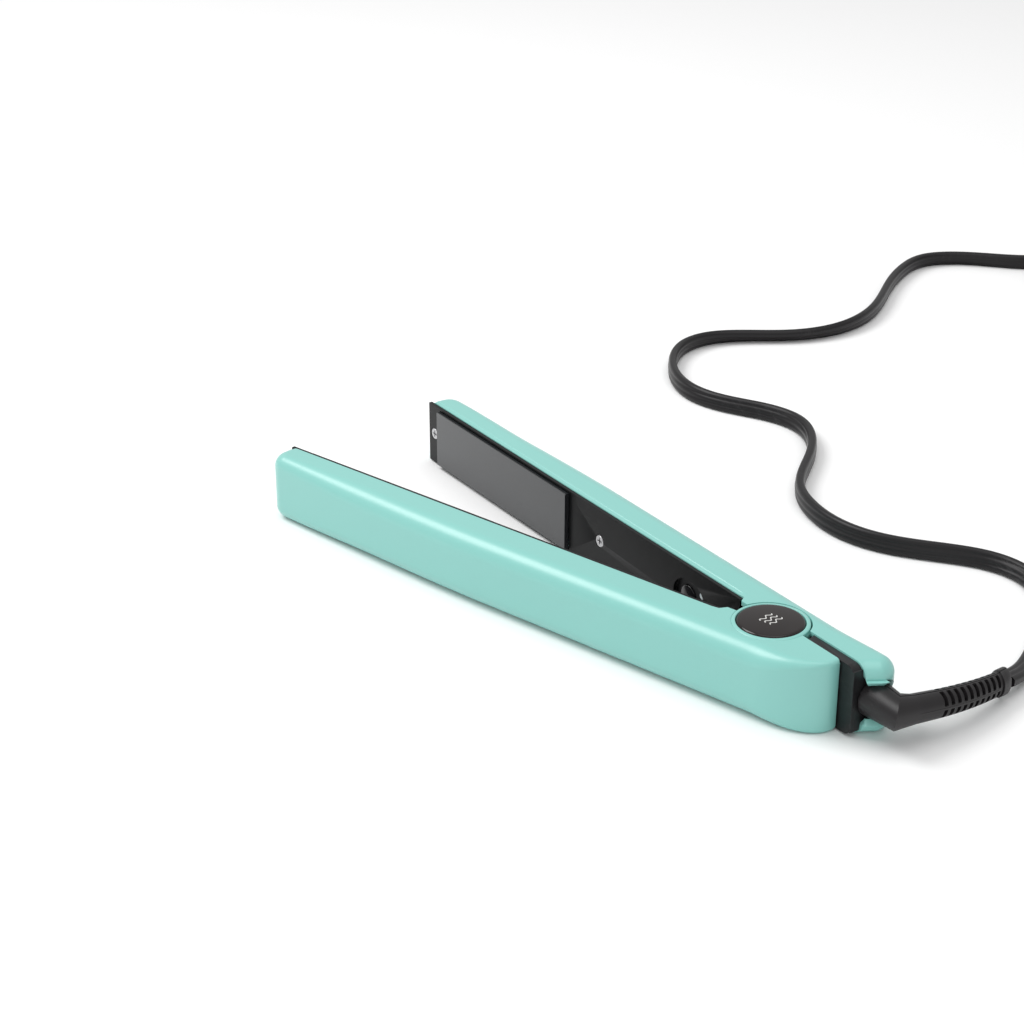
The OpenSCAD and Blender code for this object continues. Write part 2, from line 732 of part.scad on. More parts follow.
module swivel_spool() {
    color("#38383a") fixed_side() {
        shaft(boot_x0, socket_x1 + run_gap * 2, journal_r);
        shaft(socket_x1 + run_gap * 2 - eps, socket_x1 + flange_t, flange_r);
        shaft(socket_x1 + flange_t - eps, nose_x, nose_r);
    }
}

module slip_rings() {
    color("#c9a04b") fixed_side() for (x = ring_xs) difference() {
        shaft(x, x + ring_t, ring_r);
        shaft(x - 1, x + ring_t + 1, nose_r);
    }
}

// Centre line of the boot past the elbow, level and before it droops
function boot_point(s) = s < boot_straight ? [elbow_x, -s, 0] :
    let(a = (s - boot_straight) / boot_bend_r * 180 / PI)
    [elbow_x + boot_bend_r * (1 - cos(a)), -boot_straight - boot_bend_r * sin(a), 0];

// One sweep: the stub, the mitred elbow, the long bend and the collar at its end
module cord_boot() {
    near = elbow_r + 0.8;
    steps = 9;
    body_len = boot_len - collar_len;
    past = [for (i = [0:steps]) near + (body_len - near) * i / steps];
    line = concat([[boot_x0, 0, 0], [elbow_x + near, 0, 0], [elbow_x, 0, 0]],
        [for (s = concat(past, [body_len + 0.2, boot_len])) boot_point(s)]);
    taper = concat([for (i = [0:steps]) boot_r + (boot_end_r - boot_r) * i / steps],
        [collar_r, collar_r]);
    stub = elbow_r + (stub_r - elbow_r) * near / (boot_x0 - elbow_x);
    color("#262427") translate([0, -swivel_d, mid_z]) rotate([boot_droop, 0, 0])
        swept(line, concat([stub_r, stub, elbow_r * sqrt(2)], taper),
            concat([stub_r, stub, elbow_r], taper), 20);
}

// ---------------------------------------------------------------- cord
module cord() {
    line = smooth(cord_route);
    color("#1f1d1f") swept(line, same(cord_w / 2, line), same(cord_t / 2, line), 12);
}

module cord_end() {
    line = smooth(cord_end_route);
    color("#1f1d1f") swept(line, same(cord_t / 2, line), same(cord_w / 2, line), 12);
}

module cord_coil() {
    color("#1f1d1f") translate([coil_mid[0], coil_mid[1], 0]) rotate_extrude($fn = 96)
        translate([coil_r - coil_half, 0]) square([2 * coil_half, coil_top]);
}

module cord_tie() {
    band = 0.9;
    width = 9;
    color("#343236") translate([coil_mid[0], coil_mid[1], 0]) rotate([0, 0, -70]) difference() {
        block([coil_r - coil_half - band, -width / 2, 0], [coil_r + coil_half + band, width / 2, coil_top + band]);
        block([coil_r - coil_half + 0.3, -width, band], [coil_r + coil_half - 0.3, width, coil_top - 0.3]);
    }
}

module at_plug() { translate(plug_at) rotate([0, 0, plug_turn]) children(); }

module plug_body() {
    corner_r = 3.5;
    neck = 9;
    color("#1f1d1f") at_plug() rotate([0, 90, 0]) {
        translate([0, 0, neck]) linear_extrude(plug_len - neck)
            rounded(-plug_h / 2, plug_h / 2, -plug_w / 2, plug_w / 2, corner_r, corner_r);
        cylinder(r1 = cord_w / 2 + 0.8, r2 = plug_h / 2 - 0.5, h = neck + eps);
    }
}

module plug_blades() {
    color("#c8b27a") at_plug() for (y = [-1, 1])
        block([plug_len, y * blade_gap / 2 - blade_t / 2, -blade_w / 2],
            [plug_len + blade_len, y * blade_gap / 2 + blade_t / 2, blade_w / 2]);
}

fixed_shell();
fixed_liner();
hinge_knuckle();
tail_block();
swivel_socket();
brush_contacts();
fixed_heat_shield();
fixed_cushions();
fixed_plate();
fixed_heater();
control_board();
board_components();
button_switch();
power_button();
indicator_lens();
thermal_fuse();
fixed_leads();
fixed_screws();
moving_shell();
moving_liner();
moving_heat_shield();
moving_cushions();
moving_plate();
moving_heater();
thermistor();
moving_leads();
moving_screws();
hinge_pin();
hinge_bushes();
opening_spring();
cap_top();
cap_bottom();
swivel_spool();
slip_rings();
cord_boot();
cord();
cord_coil();
cord_end();
cord_tie();
plug_body();
plug_blades();
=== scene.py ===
# %% [markdown]
# # A hair straightener with a swivel cord
# The straightener lies on its side with its arms open. Two mint arms turn about one
# upright hinge, a black boot swivels in the tail, and a flat cord runs to a tied coil.
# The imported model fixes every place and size. This script gives it its surfaces: smooth
# moulded shells, a ribbed boot, a flat ribbed cord, and a procedural finish for each part.

# %% Load the model
import json
import math

import bmesh
import bpy
import numpy as np
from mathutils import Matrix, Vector


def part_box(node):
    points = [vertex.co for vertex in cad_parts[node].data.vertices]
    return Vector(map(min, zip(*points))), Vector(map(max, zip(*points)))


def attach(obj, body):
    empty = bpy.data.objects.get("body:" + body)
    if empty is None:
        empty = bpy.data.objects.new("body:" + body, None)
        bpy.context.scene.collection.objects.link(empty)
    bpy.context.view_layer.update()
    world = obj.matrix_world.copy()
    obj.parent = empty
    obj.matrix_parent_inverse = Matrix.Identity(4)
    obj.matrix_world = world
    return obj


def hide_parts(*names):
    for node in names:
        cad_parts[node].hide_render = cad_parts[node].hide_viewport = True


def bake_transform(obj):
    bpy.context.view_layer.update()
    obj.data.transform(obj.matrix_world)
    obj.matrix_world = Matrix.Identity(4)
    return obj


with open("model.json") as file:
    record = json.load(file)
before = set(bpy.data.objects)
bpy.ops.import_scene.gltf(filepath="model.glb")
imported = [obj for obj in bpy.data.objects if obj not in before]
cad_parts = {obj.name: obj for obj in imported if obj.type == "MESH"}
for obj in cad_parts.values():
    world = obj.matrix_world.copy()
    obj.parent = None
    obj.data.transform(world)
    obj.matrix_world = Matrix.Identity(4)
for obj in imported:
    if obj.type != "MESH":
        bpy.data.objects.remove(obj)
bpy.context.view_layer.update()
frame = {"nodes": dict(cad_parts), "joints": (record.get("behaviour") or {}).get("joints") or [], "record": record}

# %% [markdown]
# ## Sizes
# All lengths in this script are in millimetres until a mesh is made. The overall sizes
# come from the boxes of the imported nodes, so the surfaces fit the model they cover.

# %% Sizes from the model
MM = 0.001


def corners(node):
    """Lowest and highest corner of a node, in millimetres."""
    low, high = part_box(node)
    return np.array(low) / MM, np.array(high) / MM


shell_low, shell_high = corners("fixed_shell")
WIDTH = shell_high[2] - shell_low[2]
MID = WIDTH / 2
TIP = shell_high[0]
TAIL = -shell_low[0]
OUT = -shell_low[1]
SWIVEL_D = 11.8  # depth of the swivel axis in the fixed arm
hinge = next(j for j in frame["joints"] if j["name"] == "arm_hinge")
OPEN = math.radians(max(hinge["range_deg"]))
print(f"width {WIDTH:.1f}, tip {TIP:.1f}, tail {TAIL:.1f}, depth {OUT:.1f}, open {math.degrees(OPEN):.1f}")

# %% [markdown]
# ## Camera
# The camera looks down along the straightener from behind its tail. It is set first,
# because the length of cord that it doesn't see is what has to be stored in a coil.

# %% Camera
camera_data = bpy.data.cameras.new("camera")
camera_data.lens = 76.8
camera_data.sensor_width = 36.0
camera = bpy.data.objects.new("camera", camera_data)
bpy.context.scene.collection.objects.link(camera)
pitch = math.radians(25.6)
look = Vector((0.8406 * math.cos(pitch), -0.5417 * math.cos(pitch), -math.sin(pitch)))
camera.location = (-0.4988, 0.4255, 0.3794)
camera.rotation_euler = look.to_track_quat("-Z", "Y").to_euler()
bpy.context.scene.camera = camera
print("camera at", tuple(camera.location))

# %% [markdown]
# ## Meshes from arrays
# A surface is a grid of points, worked out for all its points at once. These helpers turn
# one or more grids into a mesh, weld the edges that meet, and turn the faces outwards.

# %% Mesh helpers
def grid_faces(rows, columns, wrap=False, start=0):
    """Four-cornered faces between neighbours of a rows by columns grid. wrap joins the last
    column to the first."""
    i = np.arange(rows - 1)
    j = np.arange(columns if wrap else columns - 1)
    i, j = np.meshgrid(i, j, indexing="ij")
    k = (j + 1) % columns
    faces = np.stack([i * columns + j, (i + 1) * columns + j, (i + 1) * columns + k, i * columns + k], -1)
    return faces.reshape(-1, 4) + start


def make_piece(name, grids, weld=2e-6, open_shell=False, sharp=35.0):
    """grids is a list of (points in millimetres, wrap). Makes one welded mesh of them, in
    metres, with its faces outwards and its edges over the sharp angle kept crisp. An open
    shell is turned so that its faces look away from its middle."""
    points, faces, start = [], [], 0
    for grid, wrap in grids:
        rows, columns = grid.shape[:2]
        points.append(grid.reshape(-1, 3) * MM)
        faces.append(grid_faces(rows, columns, wrap, start))
        start += rows * columns
    mesh = bpy.data.meshes.new(name)
    mesh.from_pydata(np.concatenate(points).tolist(), [], np.concatenate(faces).tolist())
    work = bmesh.new()
    work.from_mesh(mesh)
    bmesh.ops.remove_doubles(work, verts=work.verts, dist=weld)
    bmesh.ops.dissolve_degenerate(work, edges=work.edges, dist=weld / 2)
    bmesh.ops.recalc_face_normals(work, faces=work.faces)
    if open_shell:
        middle = sum((v.co for v in work.verts), Vector()) / len(work.verts)
        outward = sum(f.calc_area() * f.normal.dot(f.calc_center_median() - middle) for f in work.faces)
        if outward < 0:
            bmesh.ops.reverse_faces(work, faces=work.faces)
    work.to_mesh(mesh)
    work.free()
    mesh.polygons.foreach_set("use_smooth", np.ones(len(mesh.polygons), bool))
    mesh.set_sharp_from_angle(angle=math.radians(sharp))
    piece = bpy.data.objects.new(name, mesh)
    bpy.context.scene.collection.objects.link(piece)
    print(f"{name}: {len(mesh.vertices)} points, {len(mesh.polygons)} faces")
    return piece


def thicken(piece, name, thickness, offset):
    """Gives a sheet a thickness in millimetres: inwards at offset -1, outwards at 1."""
    wall = piece.modifiers.new(name, "SOLIDIFY")
    wall.thickness = thickness * MM
    wall.offset = offset


def soften(piece, name, width, segments=2, angle=None):
    """Puts a bevel of a width in millimetres on the edges, or on those over an angle."""
    edge = piece.modifiers.new(name, "BEVEL")
    edge.width = width * MM
    edge.segments = segments
    if angle is not None:
        edge.limit_method = "ANGLE"
        edge.angle_limit = math.radians(angle)
    return edge


def fan(ring, centre):
    """A grid that closes a ring of points to one centre point."""
    return np.stack([ring, np.broadcast_to(centre, ring.shape)])


def smoothstep(x):
    """0 below 0, 1 above 1, and a smooth cubic between."""
    x = np.clip(x, 0.0, 1.0)
    return x * x * (3 - 2 * x)


# %% [markdown]
# ## The cord
# The cord is flat ribbed flex, 7.6 mm wide. A flat cord that was once wound keeps
# standing on its edge in its bends and lies down where it runs straight, so the ribbon
# carries a roll angle along its route. The route is one smooth line through listed
# points, and the stored length is a neat coil whose turns come from a formula.

# %% Route of the cord
CORD_W, CORD_T = 7.6, 4.2
FLAT = CORD_T / 2
cord_route = np.array([
    [-46, -66.2, 6], [-43, -76, 4.2], [-38, -86, 2.7], [-31, -97, FLAT],
    [-22, -110, FLAT], [-12, -121, FLAT], [0, -129, FLAT], [13, -132, FLAT],
    [26, -129, FLAT], [38, -121, FLAT], [50, -111, FLAT], [63, -103, FLAT],
    [80, -99, FLAT], [97, -101, FLAT], [113, -108, FLAT], [126, -120, FLAT],
    [138, -134, FLAT], [152, -146, FLAT], [168, -152, FLAT], [185, -149, FLAT],
    [202, -140, FLAT], [220, -135, FLAT], [239, -139, FLAT], [256, -150, FLAT],
    [268, -165, FLAT], [271, -182, FLAT], [264, -201, FLAT], [253, -220, FLAT],
    [248, -240, FLAT], [251, -260, FLAT], [263, -282, FLAT], [280, -304, FLAT],
    [294, -326, FLAT], [300, -346, FLAT], [293, -364, FLAT], [278, -379, FLAT],
    [266, -394, FLAT], [264, -410, FLAT]])
# How far the ribbon is rolled up on its edge at each point, in degrees
cord_roll = np.array([0, 0, 0, 5, 12, 25, 40, 52, 62, 70, 74, 74, 76, 82, 90, 90, 90, 86,
                      76, 66, 64, 72, 84, 90, 82, 64, 48, 46, 56, 74, 88, 90, 86, 74, 66,
                      72, 82, 88.0])
cord_end_route = np.array([[176, -415, 10.8], [173, -402, 9], [170, -390, 7.6], [168, -380.6, 7]])

# The coil: radius and height as functions of the number of turns made
coil_low, coil_high = corners("cord_coil")
COIL_X, COIL_Y = (coil_low[:2] + coil_high[:2]) / 2
PITCH = CORD_T + 0.3
LAYER = CORD_W + 0.2
R_OUT = (coil_high[0] - coil_low[0]) / 2 - PITCH / 2
STEP = 1 / 6
turns = np.arange(0, 5.5 + 1e-9, 1 / 16)


def stepped(at):
    """0 before a step of the coil, 1 after it, smooth over a sixth of a turn."""
    return smoothstep((turns - at) / STEP)


turns_in = stepped(1 - STEP) + stepped(2 - STEP) - stepped(4 - 2 * STEP) - stepped(5 - 2 * STEP)
coil_r = R_OUT - PITCH * turns_in
coil_z = CORD_W / 2 + LAYER * stepped(3 - STEP)
angle = -2 * np.pi * turns
coil = np.stack([COIL_X + coil_r * np.cos(angle), COIL_Y + coil_r * np.sin(angle), coil_z], -1)

knots = np.concatenate([cord_route, coil, cord_end_route])
rolls = np.concatenate([cord_roll, np.full(len(coil), 90.0), np.full(len(cord_end_route), 90.0)])


def spline(points, spacing):
    """A smooth curve through points: a natural cubic spline along the chord length, taken
    every spacing. Returns the points, and where each lies among the knots."""
    chord = np.concatenate([[0], np.cumsum(np.linalg.norm(np.diff(points[:, :3], axis=0), axis=1))])
    n = len(chord)
    h = np.diff(chord)
    system = np.eye(n)
    right = np.zeros((n, points.shape[1]))
    inner = np.arange(1, n - 1)
    system[inner, inner - 1] = h[:-1]
    system[inner, inner] = 2 * (h[:-1] + h[1:])
    system[inner, inner + 1] = h[1:]
    slope = np.diff(points, axis=0) / h[:, None]
    right[1:-1] = 6 * np.diff(slope, axis=0)
    bend = np.linalg.solve(system, right)
    t = np.linspace(0, chord[-1], int(chord[-1] / spacing) + 1)
    k = np.clip(np.searchsorted(chord, t, side="right") - 1, 0, n - 2)
    a, b = (chord[k + 1] - t)[:, None], (t - chord[k])[:, None]
    g = h[k][:, None]
    curve = (bend[k] * a**3 + bend[k + 1] * b**3) / (6 * g)
    curve += (points[k] / g - bend[k] * g / 6) * a + (points[k + 1] / g - bend[k + 1] * g / 6) * b
    return curve


along = spline(np.column_stack([knots, rolls]), 2.6)
line = along[:, :3]
roll = np.radians(np.clip(along[:, 3], 0, 90))
# On its edge the ribbon stands higher, so its middle rises with the roll
resting = FLAT + (CORD_W - CORD_T) / 2 * np.sin(roll)
line[:, 2] = np.maximum(line[:, 2], resting)

# %% [markdown]
# ### Flat flex as a swept profile
# The section is a flattened round with two shallow grooves on each face, which give it
# three ribs. It is carried along the route: the width direction starts level,
# square to the route, and is turned up by the roll angle.

# %% Sweep
def frames(path):
    """Unit directions at each point of a path: along it, level across it, and up from both."""
    way = np.gradient(path, axis=0)
    way /= np.linalg.norm(way, axis=1, keepdims=True)
    across = np.cross(way, [0.0, 0.0, 1.0])
    across /= np.linalg.norm(across, axis=1, keepdims=True)
    return way, across, np.cross(across, way)


def sweep(path, roll, wide, thick):
    """Carries a closed profile, given as its wide and thick coordinates, along a path,
    rolled about the path by the roll angle."""
    way, across, up = frames(path)
    c, s = np.cos(roll)[:, None], np.sin(roll)[:, None]
    wide_way = across * c + up * s
    thick_way = -across * s + up * c
    return path[:, None] + wide[..., None] * wide_way[:, None] + thick[..., None] * thick_way[:, None]


def flex_profile(count=44):
    """x = a cos and y = b sin, squared off, with two grooves at plus and minus a third."""
    t = 2 * np.pi * np.arange(count) / count
    x = CORD_W / 2 * np.sign(np.cos(t)) * np.abs(np.cos(t)) ** 0.82
    y = CORD_T / 2 * np.sign(np.sin(t)) * np.abs(np.sin(t)) ** 0.62
    groove = np.exp(-(((np.abs(x) - CORD_W / 6) / 0.42) ** 2))
    return x, y * (1 - 0.2 * groove)


flex_x, flex_y = flex_profile()
rings = sweep(line, roll, np.tile(flex_x, (len(line), 1)), np.tile(flex_y, (len(line), 1)))
rings[..., 2] = np.maximum(rings[..., 2], 0.02)
power_cord = make_piece("power_cord", [
    (rings, True), (fan(rings[0], line[0]), True), (fan(rings[-1], line[-1]), True)], sharp=60)

# %% [markdown]
# ### Tie, plug and what holds the coil
# A rubber strap holds the turns. It is a closed loop round the coil's section, a little
# fuller along the middle of its width. The plug is a generic flat two-blade plug with a ribbed grip.

# %% Tie
TIE_TURN = math.radians(-70)
coil_in, coil_out = R_OUT - 2.5 * PITCH, R_OUT + PITCH / 2
half_w, half_h = (coil_out - coil_in) / 2 + 0.75, coil_high[2] / 2 + 0.45


def rounded_loop(a, b, r, count):
    """Points of a rounded box of half sizes a and b: corner arcs of radius r joined by
    straight sides, spaced by the arc angle."""
    t = 2 * np.pi * np.arange(count) / count
    c, s = np.cos(t), np.sin(t)
    return np.sign(c) * (a - r) + r * c, np.sign(s) * (b - r) + r * s


loop_x, loop_z = rounded_loop(half_w, half_h, 1.6, 64)
STRAP_HALF = 4.5
strap_y = np.linspace(-STRAP_HALF, STRAP_HALF, 13)
crown = 0.18 * (1 - (strap_y / STRAP_HALF) ** 2)
radius_scale = 1 + crown[:, None] / half_w
x = (coil_in + coil_out) / 2 + loop_x[None] * radius_scale
z = half_h + loop_z[None] * radius_scale
y = strap_y[:, None] + 0 * x
z = np.maximum(z - 0.45, 0.05)
strap = np.stack([
    COIL_X + x * np.cos(TIE_TURN) - y * np.sin(TIE_TURN),
    COIL_Y + x * np.sin(TIE_TURN) + y * np.cos(TIE_TURN), z], -1)
tie = make_piece("coil_strap", [(strap, True)], open_shell=True)
thicken(tie, "thickness", 0.8, -1)
soften(tie, "edges", 0.25)

# %% [markdown]
# The plug's body is a loft: at each station along it the section is a squared-off round,
# whose width and height are functions of the distance from the cord. The neck is ribbed,
# and three grooves on the grip help the fingers.

# %% Plug
PLUG_AT = np.array([168.0, -380.0, 7.0])
PLUG_TURN = math.radians(101)
PLUG_LEN, PLUG_W, PLUG_H = 30.0, 25.0, 14.0
NECK_HALF_W, NECK_HALF_H = 4.6, 3.5
NECK_RIB, NECK_RIB_PITCH = 0.45, 2.0
GRIP_DEPTH, GRIP_AT = 0.7, (15.5, 19.0, 22.5)
s = np.concatenate([np.linspace(0, 10, 41), np.linspace(10.2, PLUG_LEN - 1, 60),
                    PLUG_LEN - 1 + np.sin(np.linspace(0.1, np.pi / 2, 8))])
grow = smoothstep((s - 5.5) / 7.5)
square = 1 - 0.55 * grow
end = np.sqrt(np.clip(1 - (s - PLUG_LEN + 1).clip(0, 1) ** 2, 0, 1))
half_wide = NECK_HALF_W + (PLUG_W / 2 - NECK_HALF_W) * grow - (1 - end)
half_high = NECK_HALF_H + (PLUG_H / 2 - NECK_HALF_H) * grow - (1 - end)
neck_ribs = NECK_RIB * (np.sin(2 * np.pi * s / NECK_RIB_PITCH) > 0.1) * (s < 6.2) * (s > 0.6)
half_wide -= neck_ribs
half_high -= neck_ribs
t = 2 * np.pi * np.arange(72) / 72
power = square[:, None]
wide = half_wide[:, None] * np.sign(np.cos(t)) * np.abs(np.cos(t)) ** power
grip = GRIP_DEPTH * sum(np.exp(-(((s - at) / 0.75) ** 2)) for at in GRIP_AT)
high = (half_high[:, None] - grip[:, None] * smoothstep((8 - np.abs(wide)) / 2)) * (
    np.sign(np.sin(t)) * np.abs(np.sin(t)) ** power)
body = np.stack([s[:, None] + 0 * wide, wide, high], -1)


def at_plug(p):
    """From plug space, with x along the blades, to where the plug lies."""
    c, d = math.cos(PLUG_TURN), math.sin(PLUG_TURN)
    return np.stack([PLUG_AT[0] + p[..., 0] * c - p[..., 1] * d,
                     PLUG_AT[1] + p[..., 0] * d + p[..., 1] * c, PLUG_AT[2] + p[..., 2]], -1)


body = at_plug(body)
plug = make_piece("plug_moulding", [
    (body, True), (fan(body[0], body[0].mean(0)), True), (fan(body[-1], body[-1].mean(0)), True)])

# %% [markdown]
# ## The arms
# Each arm is a thin moulded skin: a tall outer wall, rounded over into the two broad
# faces, open on the side that faces the other arm. It could be built as a box with
# bevelled edges, but the rounding changes along the arm, so it is worked out instead.
# Seen from above, every point of the outline is joined by a straight line to a point of
# the inner edge. The height along that line falls off near the outline like a quarter
# circle, so the broad face and the rounding are one smooth height field.

# %% Outline of an arm
EAR_R = 13.55
RECESS_R = 14.1
TAIL_EDGE = 7.0
EDGE_DEPTH = 3.5
SHOULDER_X, SHOULDER_TOP = 19.0, 17.2
REAR_R, TIP_R = 7.0, 7.0
TAPER_X, TIP_DROP = 118.0, 5.0
MOVING_TAIL, BOAT_X, BOAT_DROP = 32.0, 8.0, 14.0
TAIL_CUT = 3.0


def arc_points(cx, cy, r, a0, a1, count):
    """Points round a circle from angle a0 to a1, in degrees."""
    a = np.radians(np.linspace(a0, a1, count))
    return np.stack([cx + r * np.cos(a), cy + r * np.sin(a)], -1)


def straight(p, q, count):
    """Evenly spaced points from p to q."""
    return np.linspace(np.array(p, float), np.array(q, float), count)


def outer_depth(x, moving=False):
    """Depth of the long outer face: level, then drawn in towards the tip by a smooth power
    curve, and on the moving arm drawn in towards the tail by the ellipse."""
    t = np.clip((x - TAPER_X) / (TIP - TIP_R - TAPER_X), 0, 1)
    boat = np.clip((-BOAT_X - x) / (MOVING_TAIL - BOAT_X), 0, 1) * moving
    return OUT - TIP_DROP * t**1.5 - BOAT_DROP * (1 - np.sqrt(1 - boat**2))


def relief(x):
    """Depth of the moving tail's inner face, which lies along the stop when open."""
    return -2.8 / math.cos(OPEN) - x * math.tan(OPEN)


def tail_points(moving):
    """The outline round an arm's tail. The moving arm draws in as a quarter of an ellipse.
    The fixed arm has a cut inner corner, a flat back and a round outer corner."""
    if moving:
        # It stops short of the ear, so that the lines to the inner edge don't cross there
        t = np.linspace(np.pi / 2, math.asin((EAR_R + 0.5 - BOAT_X) / (MOVING_TAIL - BOAT_X)), 40)
        return np.stack([-BOAT_X - (MOVING_TAIL - BOAT_X) * np.sin(t),
                         OUT - BOAT_DROP + BOAT_DROP * np.cos(t)], -1)
    return np.concatenate([
        straight((-TAIL + TAIL_CUT, TAIL_EDGE), (-TAIL + 0.3, TAIL_EDGE + 1.5 * TAIL_CUT), 8),
        straight((-TAIL, TAIL_EDGE + 1.8 * TAIL_CUT), (-TAIL, OUT - REAR_R), 4)[:-1],
        arc_points(-TAIL + REAR_R, OUT - REAR_R, REAR_R, 180, 90, 22)])


def arm_lines(moving):
    """Matching points of the outline and the inner edge, from the tail round to the tip."""
    ring = EAR_R if moving else RECESS_R
    meet = -ring * 0.9966 if moving else -math.sqrt(ring**2 - TAIL_EDGE**2)
    inner_rear = relief if moving else (lambda x: np.full_like(x, TAIL_EDGE))
    tail = tail_points(moving)
    begin = tail[0, 0]
    circle = arc_points(0, 0, ring, math.degrees(math.acos(meet / ring)), 4.2, 44)
    shoulder = np.concatenate([straight((circle[-1][0], 1), (SHOULDER_TOP, 1), 4)[1:],
                               straight((SHOULDER_TOP, 1), (SHOULDER_X, EDGE_DEPTH), 5)[1:]])
    front = np.concatenate([np.linspace(SHOULDER_X, TAPER_X, 34)[1:],
                            np.linspace(TAPER_X, TIP - TIP_R, 36)[1:]])
    if moving:
        near, back, back_out = np.linspace(begin, meet, len(tail)), np.empty(0), np.empty(0)
    else:
        near = np.linspace(begin, tail[-1, 0] + 1.0, len(tail))
        back = np.linspace(near[-1], meet, 14)[1:]
        back_out = np.linspace(tail[-1, 0], meet, 14)[1:]
    over_from = tail[-1, 0] if moving else meet
    over = np.interp(circle[1:, 0], [meet, circle[-1, 0]], [over_from, circle[-1, 0]])
    tip_c = (TIP - TIP_R, float(outer_depth(np.array(TIP - TIP_R))) - TIP_R)
    long_x = np.concatenate([back_out, over, shoulder[:, 0], front])
    outline = np.concatenate([
        tail, np.stack([long_x, outer_depth(long_x, moving)], -1),
        arc_points(*tip_c, TIP_R, 90, 0, 14)[1:],
        straight((TIP, tip_c[1]), (TIP, EDGE_DEPTH), 8)[1:]])
    tip_x = np.linspace(TIP - TIP_R, TIP, 21)[1:]
    inner = np.concatenate([
        np.stack([near, inner_rear(near)], -1),
        np.stack([back, inner_rear(back)], -1),
        circle[1:], shoulder,
        np.stack([front, np.full_like(front, EDGE_DEPTH)], -1),
        np.stack([tip_x, np.full_like(tip_x, EDGE_DEPTH)], -1)])
    return outline, inner


print("outline points:", [len(arm_lines(moving)[0]) for moving in (False, True)])

# %% [markdown]
# ### Height of the broad face
# The distance from a point to the outline decides how far the face has fallen: nothing
# beyond the edge radius, then r minus the root of r squared less (r minus distance)
# squared. The radius is large along the arm and small at the tail and the tip. A shallow
# ledge follows the inner edge, where the shell's bezel starts on the real arm.

# %% Skin of an arm
TIP_EDGE_R = 5.0
# For each arm: radius of the long edge, radius at the tail, and how far it takes to change
EDGE_RADII = {False: (8.0, 5.5, 30.0), True: (7.2, 1.6, 29.0)}
SLOT_R = 8.2
LEDGE, LEDGE_DROP = 1.5, 0.28
LEDGE_COLUMNS = np.array([2.6, 2.0, 1.85, 1.7, 1.55, 1.2, 0.5, 0.0])


def to_fixed(p):
    """Arm space to the fixed arm: the depth runs towards -Y."""
    return p * np.array([1.0, -1.0, 1.0])


def to_moving(p):
    """Arm space to the moving arm, turned open about the hinge."""
    c, s = math.cos(OPEN), math.sin(OPEN)
    return np.stack([p[..., 0] * c - p[..., 1] * s, p[..., 0] * s + p[..., 1] * c, p[..., 2]], -1)


def distance_to(points, line):
    """Shortest distance from each point to a polyline."""
    a, b = line[:-1], line[1:]
    ab = b - a
    t = ((points[..., None, :] - a) * ab).sum(-1) / np.maximum((ab**2).sum(-1), 1e-12)
    near = a + np.clip(t, 0, 1)[..., None] * ab
    return np.sqrt(((points[..., None, :] - near) ** 2).sum(-1)).min(-1)


def arm_skin(moving, columns=26, wall_columns=7):
    """Upper half of an arm's skin as a grid: rows follow the outline, columns run from the
    middle of the outer wall up over the rounding to the inner edge."""
    outline, inner = arm_lines(moving)
    x = outline[:, 0]
    long_r, tail_r, run = EDGE_RADII[moving]
    radius = tail_r + (long_r - tail_r) * smoothstep((x - x[0]) / run)
    radius += (TIP_EDGE_R - long_r) * smoothstep((x - TIP + 60) / 55)
    # Half height of the swivel's slot in the fixed tail: a round end, then level
    slot = np.zeros(len(x))
    if not moving:
        across = np.clip(outline[:, 1] - SWIVEL_D, 0, SLOT_R)
        slot = np.where(x < -TAIL + 6.0, np.sqrt(SLOT_R**2 - across**2), 0.0)
    # Where the skin starts: the mid height, or the slot's edge, which may cut the rounding
    start_z = MID + slot
    wall_top = WIDTH - radius
    cut = np.clip(start_z - wall_top, 0, None)
    start_in = radius - np.sqrt(np.maximum(radius**2 - cut**2, 0))
    span = np.maximum(np.linalg.norm(inner - outline, axis=1), 1e-6)
    first = np.minimum(start_in / span, 0.4)
    # Most columns crowd towards the outline, and the last few follow the ledge
    scale = np.minimum(1, 0.4 * span / LEDGE_COLUMNS[0])
    last = 1 - LEDGE_COLUMNS * (scale / span)[:, None]
    k = np.linspace(0, 1, columns)[:-1] ** 1.7
    t = np.concatenate([first[:, None] + (last[:, :1] - first[:, None]) * k, last], 1)
    plan = outline[:, None] + (inner - outline)[:, None] * t[..., None]
    depth_in = distance_to(plan, outline)
    depth_in[:, 0] = np.where(cut > 0, depth_in[:, 0], 0)
    r = radius[:, None]
    fall = r - np.sqrt(np.clip(r**2 - np.clip(r - depth_in, 0, r) ** 2, 0, None))
    z = WIDTH - fall
    ledge = distance_to(plan, inner)
    ahead = smoothstep((plan[..., 0] - SHOULDER_X) / 3)
    z = z - LEDGE_DROP * (1 - smoothstep((ledge - LEDGE) / 0.35)) * ahead
    top = np.concatenate([plan, z[..., None]], -1)
    w = np.linspace(0, 1, wall_columns)[:-1]
    wall_z = start_z[:, None] + (np.maximum(top[:, :1, 2], start_z[:, None]) - start_z[:, None]) * w
    wall = np.concatenate([np.broadcast_to(top[:, :1, :2], (len(x), len(w), 2)), wall_z[..., None]], -1)
    return np.concatenate([wall, top], 1)


def make_shell(name, moving):
    """Both halves of the skin, welded at mid height, given a wall and rounded rims."""
    upper = arm_skin(moving)
    lower = upper * np.array([1.0, 1.0, -1.0]) + np.array([0.0, 0.0, WIDTH])
    place = to_moving if moving else to_fixed
    piece = make_piece(name, [(place(upper), False), (place(lower), False)],
                       weld=4e-6, open_shell=True)
    thicken(piece, "wall", 1.8, -1)
    soften(piece, "rims", 0.3, angle=50)
    return piece


